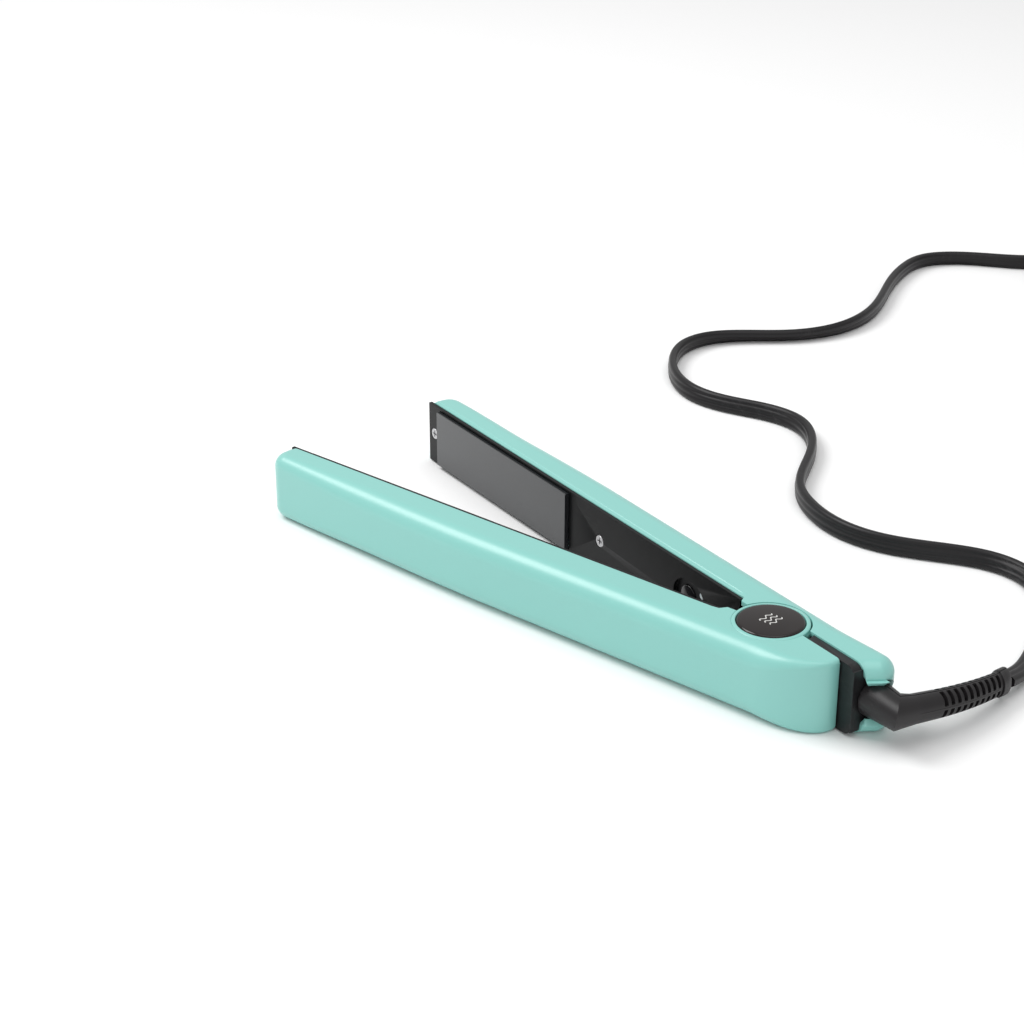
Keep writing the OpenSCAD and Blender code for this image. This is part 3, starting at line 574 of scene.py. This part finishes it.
fixed_shell = make_shell("fixed_arm_shell", False)
moving_shell = make_shell("moving_arm_shell", True)

# %% [markdown]
# ## Hinge
# The two round ears of the moving arm carry a cap each. The visible ring round a cap is
# slightly raised, and the cap's rim is bevelled. Both are turned shapes: a profile of
# radius and height carried once round the hinge axis.

# %% Turned pieces
def turned(profile, a0=0.0, a1=360.0, count=144):
    """Carries a profile of (radius, height) points round the hinge axis, from angle a0 to
    a1 in degrees. A full turn doesn't repeat its first column."""
    profile = np.asarray(profile, float)
    full = a1 - a0 >= 360
    a = np.radians(np.linspace(a0, a1, count + 1)[: count if full else None])
    r, z = profile[:, :1], profile[:, 1:]
    return np.stack([r * np.cos(a), r * np.sin(a), z + 0 * a], -1)


def upside_down(profile):
    """The same profile on the lower face, with nothing below the face itself."""
    return [(r, WIDTH - min(z, WIDTH)) for r, z in profile]


cap_low, cap_high = corners("cap_top")
CAP_R = (cap_high[0] - cap_low[0]) / 2
CAP_TOP = cap_high[2]
SEAT_R = CAP_R + 0.22
EAR_T = 4.3
SEAT = 1.9
ear_profile = [
    (4.0, WIDTH - SEAT), (SEAT_R, WIDTH - SEAT), (SEAT_R, WIDTH + 0.05), (SEAT_R + 0.05, WIDTH + 0.2),
    (SEAT_R + 0.18, WIDTH + 0.31), (SEAT_R + 0.42, WIDTH + 0.34), (SEAT_R + 0.8, WIDTH + 0.27),
    (EAR_R - 0.4, WIDTH + 0.12), (EAR_R - 0.15, WIDTH + 0.02), (EAR_R - 0.04, WIDTH - 0.1),
    (EAR_R, WIDTH - 0.25), (EAR_R, WIDTH - EAR_T + 0.3), (EAR_R - 0.3, WIDTH - EAR_T),
    (4.0, WIDTH - EAR_T), (4.0, WIDTH - SEAT)]
ears = make_piece("hinge_ears", [(turned(ear_profile), True), (turned(upside_down(ear_profile)), True)])

cup_profile = [(RECESS_R, WIDTH - 0.2), (RECESS_R, WIDTH - 4.85), (10.1, WIDTH - 4.85)]
cups = make_piece("ear_cups", [
    (turned(cup_profile, 198, 342, 60), False),
    (turned(upside_down(cup_profile), 198, 342, 60), False)], sharp=50)

# %% [markdown]
# ### Caps
# The cap is a turned disc: a straight side, a bevelled rim and a slight dome. Its rim
# catches the light, so it has points enough to stay round. The printed name of the real
# cap is left out, and three small wavy heat lines stand in its place.

# %% Caps
DOME = 0.5
RIM = CAP_TOP - DOME
cap_profile = [(0.0, WIDTH - SEAT + 0.1), (CAP_R - 0.3, WIDTH - SEAT + 0.1), (CAP_R, WIDTH - SEAT + 0.4),
               (CAP_R, RIM - 0.62), (CAP_R - 0.05, RIM - 0.5), (CAP_R - 0.5, RIM - 0.06),
               (CAP_R - 0.62, RIM)]
dome_r = np.linspace(CAP_R - 0.78, 0, 16)
dome_z = RIM + 0.03 + (DOME - 0.03) * (1 - (dome_r / (CAP_R - 0.62)) ** 2)
cap_profile += list(zip(dome_r, dome_z))
cap = make_piece("top_cap", [(turned(cap_profile), True)], sharp=28)

foot_profile = [(0.0, SEAT - 0.1), (CAP_R - 0.3, SEAT - 0.1), (CAP_R, SEAT - 0.4), (CAP_R, 0.35),
                (CAP_R - 0.35, 0.0), (CAP_R - 2.2, 0.0), (CAP_R - 2.35, 0.3), (CAP_R - 2.75, 0.3),
                (CAP_R - 2.9, 0.0), (0.0, 0.0)]
foot_cap = make_piece("bottom_cap", [(turned(foot_profile), True)], sharp=28)


MARK_HALF_LEN, MARK_LINE_W, MARK_PITCH = 3.4, 0.55, 2.1


def heat_lines():
    """Three ribbons side by side, v = 0.6 sin(1.85 u), each 0.55 wide, laid on the dome,
    whose height falls with the square of the distance from its middle."""
    u = np.linspace(-MARK_HALF_LEN, MARK_HALF_LEN, 61)[:, None]
    w = np.linspace(-MARK_LINE_W / 2, MARK_LINE_W / 2, 4)
    turn = OPEN + math.radians(90)
    sheets = []
    for offset in (-MARK_PITCH, 0.0, MARK_PITCH):
        v = offset + 0.6 * np.sin(1.85 * u) + w
        x = u * math.cos(turn) - v * math.sin(turn)
        y = u * math.sin(turn) + v * math.cos(turn)
        z = RIM + DOME * (1 - (x**2 + y**2) / (CAP_R - 0.62) ** 2) - 0.05
        sheets.append((np.stack([x, y, z], -1), False))
    return sheets


mark = make_piece("heat_mark", heat_lines())
for face in mark.data.polygons:
    if face.normal.z < 0:
        face.flip()
thicken(mark, "thickness", 0.07, 1)

# %% [markdown]
# ## Boot
# The boot is one rubber moulding: a smooth stub on the swivel, a mitred elbow, and a
# long neck with slots that let it bend. Slots could be cut with many boxes. Here they are
# part of the surface: the radius drops inside each slot's window, and rows of points lie
# close together at the slots' edges, so their walls are steep.

# %% Boot
ELBOW_X, ELBOW_R = -(TAIL + 7.5), 5.85
STUB_R, STUB_X = 6.8, -(TAIL - 4.2)
BOOT_LEN, BOOT_R, BOOT_END_R = 55.0, 5.0, 4.2
COLLAR_R, COLLAR_LEN = 4.8, 5.0
BOOT_STRAIGHT, BOOT_BEND_R = 15.0, 150.0
DROOP = math.radians(7.9)
SLOT_START, SLOT_PITCH, SLOTS, SLOT_W, SLOT_CUT = 16.8, 3.3, 10, 1.8, 1.3

half_ring = np.concatenate([np.linspace(-90, -46.5, 12), [-45.0], np.linspace(-43, -4, 10), [-1.5, 0.0],
                            np.linspace(1.5, 13.5, 7), [15.0, 16.5], np.linspace(19, 77, 16),
                            [78.5, 80.0], np.linspace(82, 88, 3)])
ring_angle = np.radians(np.concatenate([half_ring, 180 - half_ring]))


def in_window(e, low, high, soft):
    """1 between low and high, 0 outside, with soft edges."""
    return smoothstep((e - low) / soft) * smoothstep((high - e) / soft)


def boot_neck():
    """Rows of rings past the elbow. The radius runs evenly from the elbow's to the end's,
    steps out at the collar, and drops by the slot depth inside the slots' windows."""
    near = ELBOW_R + 0.8
    plain = np.concatenate([np.linspace(near, SLOT_START - 0.6, 14), [SLOT_START - 0.2]])
    slot = np.array([0.0, 0.16, SLOT_W / 2, SLOT_W - 0.16, SLOT_W, (SLOT_W + SLOT_PITCH) / 2])
    slots = (SLOT_START + SLOT_PITCH * np.arange(SLOTS)[:, None] + slot).ravel()
    body_end = BOOT_LEN - COLLAR_LEN
    collar = np.array([body_end, body_end + 0.12, body_end + 0.4, body_end + 2.4, BOOT_LEN - 0.5,
                       BOOT_LEN - 0.12, BOOT_LEN])
    s = np.concatenate([plain, slots, collar])
    r = np.interp(s, [near, body_end], [BOOT_R + 0.1, BOOT_END_R])
    r = np.where(s > body_end + 0.05, COLLAR_R, r)
    r[-1] -= 0.45
    r[-2] -= 0.12
    r[-6] -= 0.2
    turn = np.clip(s - BOOT_STRAIGHT, 0, None) / BOOT_BEND_R
    x = ELBOW_X + BOOT_BEND_R * (1 - np.cos(turn))
    y = -np.minimum(s, BOOT_STRAIGHT) - BOOT_BEND_R * np.sin(turn)
    phase = (s[:, None] - SLOT_START) - SLOT_PITCH * np.arange(SLOTS)
    in_slot = ((phase > 0.1) & (phase < SLOT_W - 0.1)).any(1).astype(float)
    e = np.degrees(ring_angle)
    e = np.where(e > 90, 180 - e, e)
    rows = in_window(e, 15, 81, 1.5) + in_window(e, -45.5, 0, 1.5)
    seam = 0.12 * np.exp(-(((e - 7.5) / 1.6) ** 2)) * (s < body_end)[:, None]
    # A thin moulding seam runs along the neck, between the two rows of slots
    radius = r[:, None] - SLOT_CUT * in_slot[:, None] * rows[None] + seam
    across = np.stack([-np.cos(turn), np.sin(turn)], -1)
    side = radius * np.cos(ring_angle)
    return np.stack([x[:, None] + side * across[:, :1], y[:, None] + side * across[:, 1:],
                     radius * np.sin(ring_angle)], -1)


def boot_elbow():
    """The stub, whose rings lean over step by step to the mitre plane, and the first bit of
    the neck, whose rings lean back from it."""
    c, s = np.cos(ring_angle), np.sin(ring_angle)
    k = np.concatenate([[0.0, 0.012], np.linspace(0.1, 1, 12)])[:, None]
    r = STUB_R + (ELBOW_R - STUB_R) * k
    r[0] -= 0.5
    mitre = -r * c
    stub = np.stack([STUB_X + (ELBOW_X + mitre - STUB_X) * k, r * c, r * s + 0 * k], -1)
    near = ELBOW_R + 0.8
    k = np.linspace(0, 1, 9)[1:-1, None]
    r = ELBOW_R + (BOOT_R + 0.1 - ELBOW_R) * k
    neck = np.stack([ELBOW_X - r * c, ELBOW_R * c * (1 - k) - near * k, r * s], -1)
    return np.concatenate([stub, neck])


def droop(p):
    """Tips the boot down about the swivel axis and puts it in its place."""
    c, s = math.cos(DROOP), math.sin(DROOP)
    return np.stack([p[..., 0], p[..., 1] * c - p[..., 2] * s - SWIVEL_D,
                     p[..., 1] * s + p[..., 2] * c + MID], -1)


boot_rings = droop(np.concatenate([boot_elbow(), boot_neck()]))
boot = make_piece("swivel_boot", [
    (boot_rings, True), (fan(boot_rings[0], boot_rings[0].mean(0)), True),
    (fan(boot_rings[-1], boot_rings[-1].mean(0)), True)], sharp=32)

# %% [markdown]
# ## Moulded parts kept from the model
# The liners, the tail block, the knuckle and the plates have the right shape already. A
# real moulding has no knife-sharp edge, so each of these is copied, its loose triangles
# are merged, and a narrow bevel is put on its edges.

# %% Softened copies
def softened(node, name, width, segments=2, angle=40):
    """A merged copy of a node with a narrow bevel on its edges."""
    piece = frame["nodes"][node].copy()
    piece.data = piece.data.copy()
    for key in list(piece.keys()):
        del piece[key]
    piece.name = name
    piece.data.name = name
    piece.parent = None
    bpy.context.scene.collection.objects.link(piece)
    work = bmesh.new()
    work.from_mesh(piece.data)
    bmesh.ops.remove_doubles(work, verts=work.verts, dist=2e-6)
    bmesh.ops.dissolve_limit(work, angle_limit=math.radians(0.5), verts=work.verts, edges=work.edges)
    work.to_mesh(piece.data)
    work.free()
    mesh = piece.data
    mesh.polygons.foreach_set("use_smooth", np.ones(len(mesh.polygons), bool))
    mesh.set_sharp_from_angle(angle=math.radians(angle))
    edge = soften(piece, "edges", width, segments, angle)
    edge.harden_normals = True
    edge.use_clamp_overlap = True
    return piece


# Node, name of its copy, bevel width in millimetres and bevel segments
SOFT = [
    ("fixed_liner", "fixed_inner_tray", 0.25, 2), ("moving_liner", "moving_inner_tray", 0.25, 2),
    ("tail_block", "tail_block_moulding", 0.4, 2), ("hinge_knuckle", "hinge_barrel", 0.3, 2),
    ("fixed_plate", "fixed_hot_plate", 0.45, 3), ("moving_plate", "moving_hot_plate", 0.45, 3),
    ("power_button", "round_button", 0.15, 2), ("plug_blades", "blades", 0.3, 3)]
soft_copies = {node: softened(node, name, width, segments) for node, name, width, segments in SOFT}
print("softened:", ", ".join(soft_copies))

# %% [markdown]
# ## Screws
# A countersunk plastic screw has a flat head with a cross recess. The head is a disc in
# polar steps whose height drops inside the cross, and the same sheet runs on down the
# shank to its point.

# %% Screws
SCREW_HEAD_R, SCREW_HEAD_T, SCREW_R, SCREW_LEN = 2.4, 1.2, 1.1, 9.0
LINER_D = 2.0


def screw(x):
    """One screw in arm space, at x along the arm, with its axis along the depth."""
    angle = 2 * np.pi * np.arange(64) / 64
    r = np.concatenate([np.linspace(0, 1.7, 18), [2.0, 2.25]])
    u, v = r[:, None] * np.cos(angle), r[:, None] * np.sin(angle)
    arm = np.maximum(smoothstep((0.34 - np.abs(u)) / 0.12) * smoothstep((1.45 - np.abs(v)) / 0.3),
                     smoothstep((0.34 - np.abs(v)) / 0.12) * smoothstep((1.45 - np.abs(u)) / 0.3))
    depth = LINER_D + 0.1 + 0.75 * arm
    under_head = LINER_D + SCREW_HEAD_T
    shank = [(SCREW_HEAD_R, LINER_D + 0.25), (SCREW_HEAD_R, under_head), (SCREW_R, under_head)]
    thread = np.arange(0, SCREW_LEN - 1, 0.4)
    shank += [(SCREW_R - 0.18 * (i % 2), under_head + 0.2 + t) for i, t in enumerate(thread)]
    shank += [(0.0, under_head + SCREW_LEN)]
    shank = np.array(shank)
    u = np.concatenate([u, shank[:, :1] * np.cos(angle)])
    v = np.concatenate([v, shank[:, :1] * np.sin(angle)])
    depth = np.concatenate([depth, shank[:, 1:] + 0 * angle])
    return np.stack([x + u, depth, MID + v], -1)


SCREW_XS = (30.0, 103.85, 224.5)
fixed_screws = make_piece("fixed_screw_set", [(to_fixed(screw(x)), True) for x in SCREW_XS])
moving_screws = make_piece("moving_screw_set", [(to_moving(screw(x)), True) for x in SCREW_XS])

# %% [markdown]
# ## Finishes
# Every finish is procedural. Two node groups are shared. One gives the skin of a moulding:
# fine texture height, a slow drift of tone, and a roughness that varies with it. The other
# gives the wear that handling leaves, as a mask of fine scratches and dull spots.

# %% Shared node groups
def new_group(name, inputs, outputs):
    """An empty shader node group with named inputs and outputs."""
    group = bpy.data.node_groups.new(name, "ShaderNodeTree")
    for label, kind, value in inputs:
        socket = group.interface.new_socket(name=label, in_out="INPUT", socket_type=kind)
        socket.default_value = value
    for label, kind in outputs:
        group.interface.new_socket(name=label, in_out="OUTPUT", socket_type=kind)
    return group, group.nodes.new("NodeGroupInput"), group.nodes.new("NodeGroupOutput")


def add(tree, kind, **settings):
    """A new node, with its settings and the values of its inputs."""
    node = tree.nodes.new(kind)
    for key, value in settings.items():
        if key.startswith("in_"):
            node.inputs[key[3:].replace("_", " ")].default_value = value
        else:
            setattr(node, key, value)
    return node


def math_node(tree, operation, a, b=None, clamp=False):
    """A Math node of two numbers or sockets. Returns its output."""
    node = tree.nodes.new("ShaderNodeMath")
    node.operation = operation
    node.use_clamp = clamp
    for socket, value in zip(node.inputs, (a, b)):
        if isinstance(value, bpy.types.NodeSocket):
            tree.links.new(value, socket)
        elif value is not None:
            socket.default_value = value
    return node.outputs[0]


def moulding_group():
    """Skin of a moulding, from Object coordinates: fine grain, and a slow drift."""
    group, given, out = new_group("moulded skin", [
        ("Grain Scale", "NodeSocketFloat", 3000.0), ("Drift Scale", "NodeSocketFloat", 40.0),
        ("Roughness", "NodeSocketFloat", 0.4), ("Spread", "NodeSocketFloat", 0.06)], [
        ("Height", "NodeSocketFloat"), ("Drift", "NodeSocketFloat"), ("Roughness", "NodeSocketFloat")])
    link = group.links.new
    place = add(group, "ShaderNodeTexCoord")
    grain = add(group, "ShaderNodeTexNoise", in_Detail=3.0, in_Roughness=0.6)
    drift = add(group, "ShaderNodeTexNoise", in_Detail=2.0)
    link(place.outputs["Object"], grain.inputs["Vector"])
    link(place.outputs["Object"], drift.inputs["Vector"])
    link(given.outputs["Grain Scale"], grain.inputs["Scale"])
    link(given.outputs["Drift Scale"], drift.inputs["Scale"])
    mixed = math_node(group, "ADD", math_node(group, "MULTIPLY", grain.outputs["Fac"], 0.5),
                      math_node(group, "MULTIPLY", drift.outputs["Fac"], 0.5))
    centred = math_node(group, "SUBTRACT", mixed, 0.5)
    spread = math_node(group, "MULTIPLY", centred, given.outputs["Spread"])
    varied = math_node(group, "MULTIPLY", spread, 4.0)
    rough = math_node(group, "ADD", given.outputs["Roughness"], varied, True)
    link(grain.outputs["Fac"], out.inputs["Height"])
    link(drift.outputs["Fac"], out.inputs["Drift"])
    link(rough, out.inputs["Roughness"])
    return group


def wear_group():
    """Handling marks: thin bright lines of a stretched noise, in patches."""
    group, given, out = new_group("handling wear", [
        ("Scale", "NodeSocketFloat", 60.0), ("Amount", "NodeSocketFloat", 0.3)], [
        ("Mask", "NodeSocketFloat")])
    link = group.links.new
    place = add(group, "ShaderNodeTexCoord")
    turn = add(group, "ShaderNodeMapping")
    turn.inputs["Rotation"].default_value = (0.3, 0.5, 0.9)
    turn.inputs["Scale"].default_value = (1.0, 14.0, 3.0)
    lines = add(group, "ShaderNodeTexNoise", in_Detail=4.0, in_Roughness=0.7)
    patch = add(group, "ShaderNodeTexNoise", in_Detail=1.0)
    link(place.outputs["Object"], turn.inputs["Vector"])
    link(turn.outputs["Vector"], lines.inputs["Vector"])
    link(place.outputs["Object"], patch.inputs["Vector"])
    link(given.outputs["Scale"], lines.inputs["Scale"])
    link(given.outputs["Scale"], patch.inputs["Scale"])
    ridge = math_node(group, "ABSOLUTE", math_node(group, "SUBTRACT", lines.outputs["Fac"], 0.5))
    thin = math_node(group, "SUBTRACT", 1.0, math_node(group, "MULTIPLY", ridge, 45.0), True)
    where = math_node(group, "MULTIPLY", math_node(group, "SUBTRACT", patch.outputs["Fac"], 0.5), 6.0, True)
    mask = math_node(group, "MULTIPLY", math_node(group, "MULTIPLY", thin, where), given.outputs["Amount"])
    link(mask, out.inputs["Mask"])
    return group


MOULDED = moulding_group()
WEAR = wear_group()
print("shared groups:", MOULDED.name, "and", WEAR.name)

# %% [markdown]
# One function lays out a finish. The drift mixes two close tones, wear lifts the tone and
# the roughness where hands rub, and the grain goes through a Bump node. What is constant,
# such as coat, sheen and metallic, is set straight on the shader.

# %% A finish
def tone(colour, factor):
    """A colour made lighter or darker, as four numbers."""
    return tuple(min(c * factor, 1.0) for c in colour) + (1.0,)


def mix_colours(tree, factor, first, second):
    """A Mix node of two colours, each a socket or four numbers. Returns its colour."""
    node = add(tree, "ShaderNodeMix", data_type="RGBA")
    tree.links.new(factor, node.inputs[0])
    sockets = [i for i in node.inputs if i.type == "RGBA"]
    for socket, value in zip(sockets, (first, second)):
        if isinstance(value, bpy.types.NodeSocket):
            tree.links.new(value, socket)
        else:
            socket.default_value = value
    return next(o for o in node.outputs if o.type == "RGBA")


def finish(name, colour, rough, grain=3000.0, depth=0.00002, drift=30.0, spread=0.05,
           lift=1.08, wear=0.15, wear_scale=60.0, strength=0.25, **shader):
    """A procedural finish. grain and drift are texture scales per metre, depth is the
    height of the grain in metres, and shader holds constants of the Principled shader."""
    material = bpy.data.materials.new(name)
    material.use_nodes = True
    tree = material.node_tree
    link = tree.links.new
    principled = tree.nodes["Principled BSDF"]
    skin = add(tree, "ShaderNodeGroup", node_tree=MOULDED)
    given = {"Grain Scale": grain, "Drift Scale": drift, "Roughness": rough, "Spread": spread}
    for label, value in given.items():
        skin.inputs[label].default_value = value
    worn = add(tree, "ShaderNodeGroup", node_tree=WEAR)
    worn.inputs["Scale"].default_value = wear_scale
    worn.inputs["Amount"].default_value = wear
    drifting = mix_colours(tree, skin.outputs["Drift"], tone(colour, 1 / lift), tone(colour, lift))
    rubbed = tone([0.5 * c + 0.12 for c in colour], 1.0)
    worn_colour = mix_colours(tree, worn.outputs["Mask"], drifting, rubbed)
    link(worn_colour, principled.inputs["Base Color"])
    scuffed = math_node(tree, "MULTIPLY", worn.outputs["Mask"], 0.4)
    dull = math_node(tree, "ADD", skin.outputs["Roughness"], scuffed, True)
    link(dull, principled.inputs["Roughness"])
    bump = add(tree, "ShaderNodeBump", in_Strength=strength, in_Distance=depth)
    link(skin.outputs["Height"], bump.inputs["Height"])
    link(bump.outputs["Normal"], principled.inputs["Normal"])
    for label, value in shader.items():
        principled.inputs[label.replace("_", " ")].default_value = value
    return material


finishes = {
    "mint_plastic": finish("satin mint shell", (0.235, 0.56, 0.51), 0.34, grain=2600, depth=0.00001,
                           drift=18, lift=1.02, wear=0.05, spread=0.04, Coat_Weight=0.35,
                           Coat_Roughness=0.26),
    "black_plastic": finish("black satin moulding", (0.012, 0.012, 0.013), 0.34, grain=3600, depth=0.00002,
                            wear=0.2, Specular_IOR_Level=0.32),
    "dark_nylon": finish("dark nylon", (0.02, 0.02, 0.022), 0.45, grain=2000),
    "brass": finish("brass", (0.72, 0.52, 0.24), 0.24, grain=5000, depth=0.00001, Metallic=1.0, wear=0.3),
    "heat_board": finish("heat board", (0.17, 0.13, 0.09), 0.8, grain=1400, depth=0.0001, lift=1.25,
                         strength=0.5),
    "silicone": finish("silicone foam", (0.5, 0.08, 0.05), 0.6, grain=1600, depth=0.0001, strength=0.5),
    "plate_ceramic": finish("ceramic plate coat", (0.03, 0.033, 0.036), 0.13, grain=6000, depth=0.000006,
                            wear=0.12, wear_scale=90, Metallic=0.35, Coat_Weight=0.6, Coat_Roughness=0.06),
    "heater": finish("amber film heater", (0.5, 0.27, 0.05), 0.3, grain=900, lift=1.3, Coat_Weight=0.5),
    "circuit_board": finish("green solder mask", (0.015, 0.12, 0.04), 0.3, grain=700, lift=1.35,
                            Coat_Weight=0.4),
    "components": finish("component epoxy", (0.03, 0.03, 0.04), 0.35, grain=2400),
    "button_plastic": finish("gloss black button", (0.012, 0.012, 0.013), 0.16, grain=3000,
                             depth=0.000006, Coat_Weight=0.4),
    "clear_lens": finish("clear lens", (0.75, 0.86, 0.88), 0.08, grain=1200, depth=0.000004, wear=0.0,
                         Coat_Weight=0.6),
    "sensor": finish("glazed sensor", (0.45, 0.42, 0.33), 0.35, grain=1500),
    "wire": finish("woven glass sleeve", (0.58, 0.55, 0.48), 0.75, grain=1800, depth=0.00015, strength=0.7,
                   lift=1.15),
    "steel": finish("zinc plated steel", (0.52, 0.52, 0.53), 0.28, grain=2600, depth=0.00001, Metallic=1.0,
                    wear=0.3),
    "cap_gloss": finish("brown black cap gloss", (0.011, 0.0075, 0.007), 0.12, grain=2200, depth=0.000004,
                        spread=0.03, wear=0.1, Specular_IOR_Level=0.4),
    "boot_rubber": finish("satin boot rubber", (0.014, 0.0125, 0.0135), 0.4, grain=2800, depth=0.00004,
                          wear=0.12, strength=0.35, Specular_IOR_Level=0.3),
    "cord_rubber": finish("flat flex sheath", (0.0105, 0.0095, 0.0105), 0.36, grain=2600, depth=0.00003,
                          wear=0.15, wear_scale=30, strength=0.3, Specular_IOR_Level=0.26),
    "tie_rubber": finish("matt strap rubber", (0.03, 0.03, 0.033), 0.6, grain=1800, depth=0.00006,
                         strength=0.5),
}
# The trays face each other in the shade between the arms. Their finish is a darker, less shiny copy of the black
# moulding, which paints in that shade
shaded_tray_finish = finish("dull inner tray", (0.006, 0.0065, 0.007), 0.42, grain=3600, depth=0.00002, wear=0.1,
                     Specular_IOR_Level=0.22)
print("finishes:", len(finishes) + 1)


def dress(piece, slot):
    """Gives a piece the finish of a slot."""
    piece.data.materials.clear()
    piece.data.materials.append(finishes[slot])


slots = {part["node"]: part["material_slot"] for part in frame["record"]["subparts"]}
for node, thing in frame["nodes"].items():
    thing.data.materials.clear()
    thing.data.materials.append(finishes[slots[node]])

# %% [markdown]
# The mark on the cap is a pale print, with a finish of its own.

# %% Printed mark
print_finish = finish("pale print", (0.62, 0.62, 0.6), 0.4, grain=4000, wear=0.1)

# %% [markdown]
# ## What each piece rides on
# Every piece but the cord follows one body of the model. The cord starts on the swivelling boot and
# ends on the ground beside the fixed arm, and it stays where it is made, on no body.

# %% Rides
rides = [
    (fixed_shell, "fixed_arm", "mint_plastic", ["fixed_shell"]),
    (cups, "fixed_arm", "mint_plastic", []),
    (moving_shell, "moving_arm", "mint_plastic", ["moving_shell"]),
    (ears, "moving_arm", "mint_plastic", []),
    (cap, "moving_arm", "cap_gloss", ["cap_top"]),
    (foot_cap, "moving_arm", "cap_gloss", ["cap_bottom"]),
    (mark, "moving_arm", "cap_gloss", []),
    (boot, "cord_swivel", "boot_rubber", ["cord_boot"]),
    (tie, "fixed_arm", "tie_rubber", ["cord_tie"]),
    (plug, "fixed_arm", "boot_rubber", ["plug_body"]),
    (fixed_screws, "fixed_arm", "steel", ["fixed_screws"]),
    (moving_screws, "moving_arm", "steel", ["moving_screws"]),
]
bodies = frame["record"]["behaviour"]["bodies"]
body_of = {node: body for body, members in bodies.items() for node in members}
rides += [(piece, body_of[node], slots[node], [node]) for node, piece in soft_copies.items()]
for piece, body, slot, nodes in rides:
    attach(piece, body)
    dress(piece, slot)
    if nodes:
        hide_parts(*nodes)
mark.data.materials[0] = print_finish
# The trays take the darker copy of the black moulding: painted shade between the arms
for tray in ("fixed_liner", "moving_liner"):
    soft_copies[tray].data.materials[0] = shaded_tray_finish
dress(power_cord, "cord_rubber")
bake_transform(power_cord)
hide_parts("cord", "cord_coil", "cord_end")
print("pieces:", len(rides) + 1)

# %% [markdown]
# ## Floor and light
# A pale floor and large soft lights stand in for a light tent. The key light is above and
# behind the camera's left, so the long rounded edges carry one broad soft highlight.

# %% Stage
floor_mesh = bpy.data.meshes.new("floor")
FLOOR = 6.0
floor_corners = [(-FLOOR, -FLOOR, 0), (FLOOR, -FLOOR, 0), (FLOOR, FLOOR, 0), (-FLOOR, FLOOR, 0)]
floor_mesh.from_pydata(floor_corners, [], [(0, 1, 2, 3)])
floor = bpy.data.objects.new("floor", floor_mesh)
bpy.context.scene.collection.objects.link(floor)
paper = bpy.data.materials.new("white paper sweep")
paper.use_nodes = True
paper.node_tree.nodes["Principled BSDF"].inputs["Base Color"].default_value = (0.93, 0.93, 0.93, 1)
paper.node_tree.nodes["Principled BSDF"].inputs["Roughness"].default_value = 0.9
floor.data.materials.append(paper)

world = bpy.data.worlds.new("light tent")
bpy.context.scene.world = world
world.use_nodes = True
world.node_tree.nodes["Background"].inputs["Color"].default_value = (1, 1, 1, 1)
world.node_tree.nodes["Background"].inputs["Strength"].default_value = 0.62


def soft_light(name, place, target, size, power):
    """A large square lamp at place, facing target."""
    lamp = bpy.data.lights.new(name, "AREA")
    lamp.size = size
    lamp.energy = power
    thing = bpy.data.objects.new(name, lamp)
    thing.location = place
    thing.rotation_euler = (Vector(target) - Vector(place)).to_track_quat("-Z", "Y").to_euler()
    bpy.context.scene.collection.objects.link(thing)


soft_light("key", (0.85, 0.62, 1.25), (0.0, 0.0, 0.0), 0.8, 13)
soft_light("overhead", (-0.1, -0.1, 1.7), (0.05, 0.0, 0.0), 1.5, 8)
soft_light("fill", (-0.9, 0.9, 0.6), (0.0, 0.0, 0.0), 0.9, 2)
bpy.context.scene.view_settings.view_transform = "Standard"
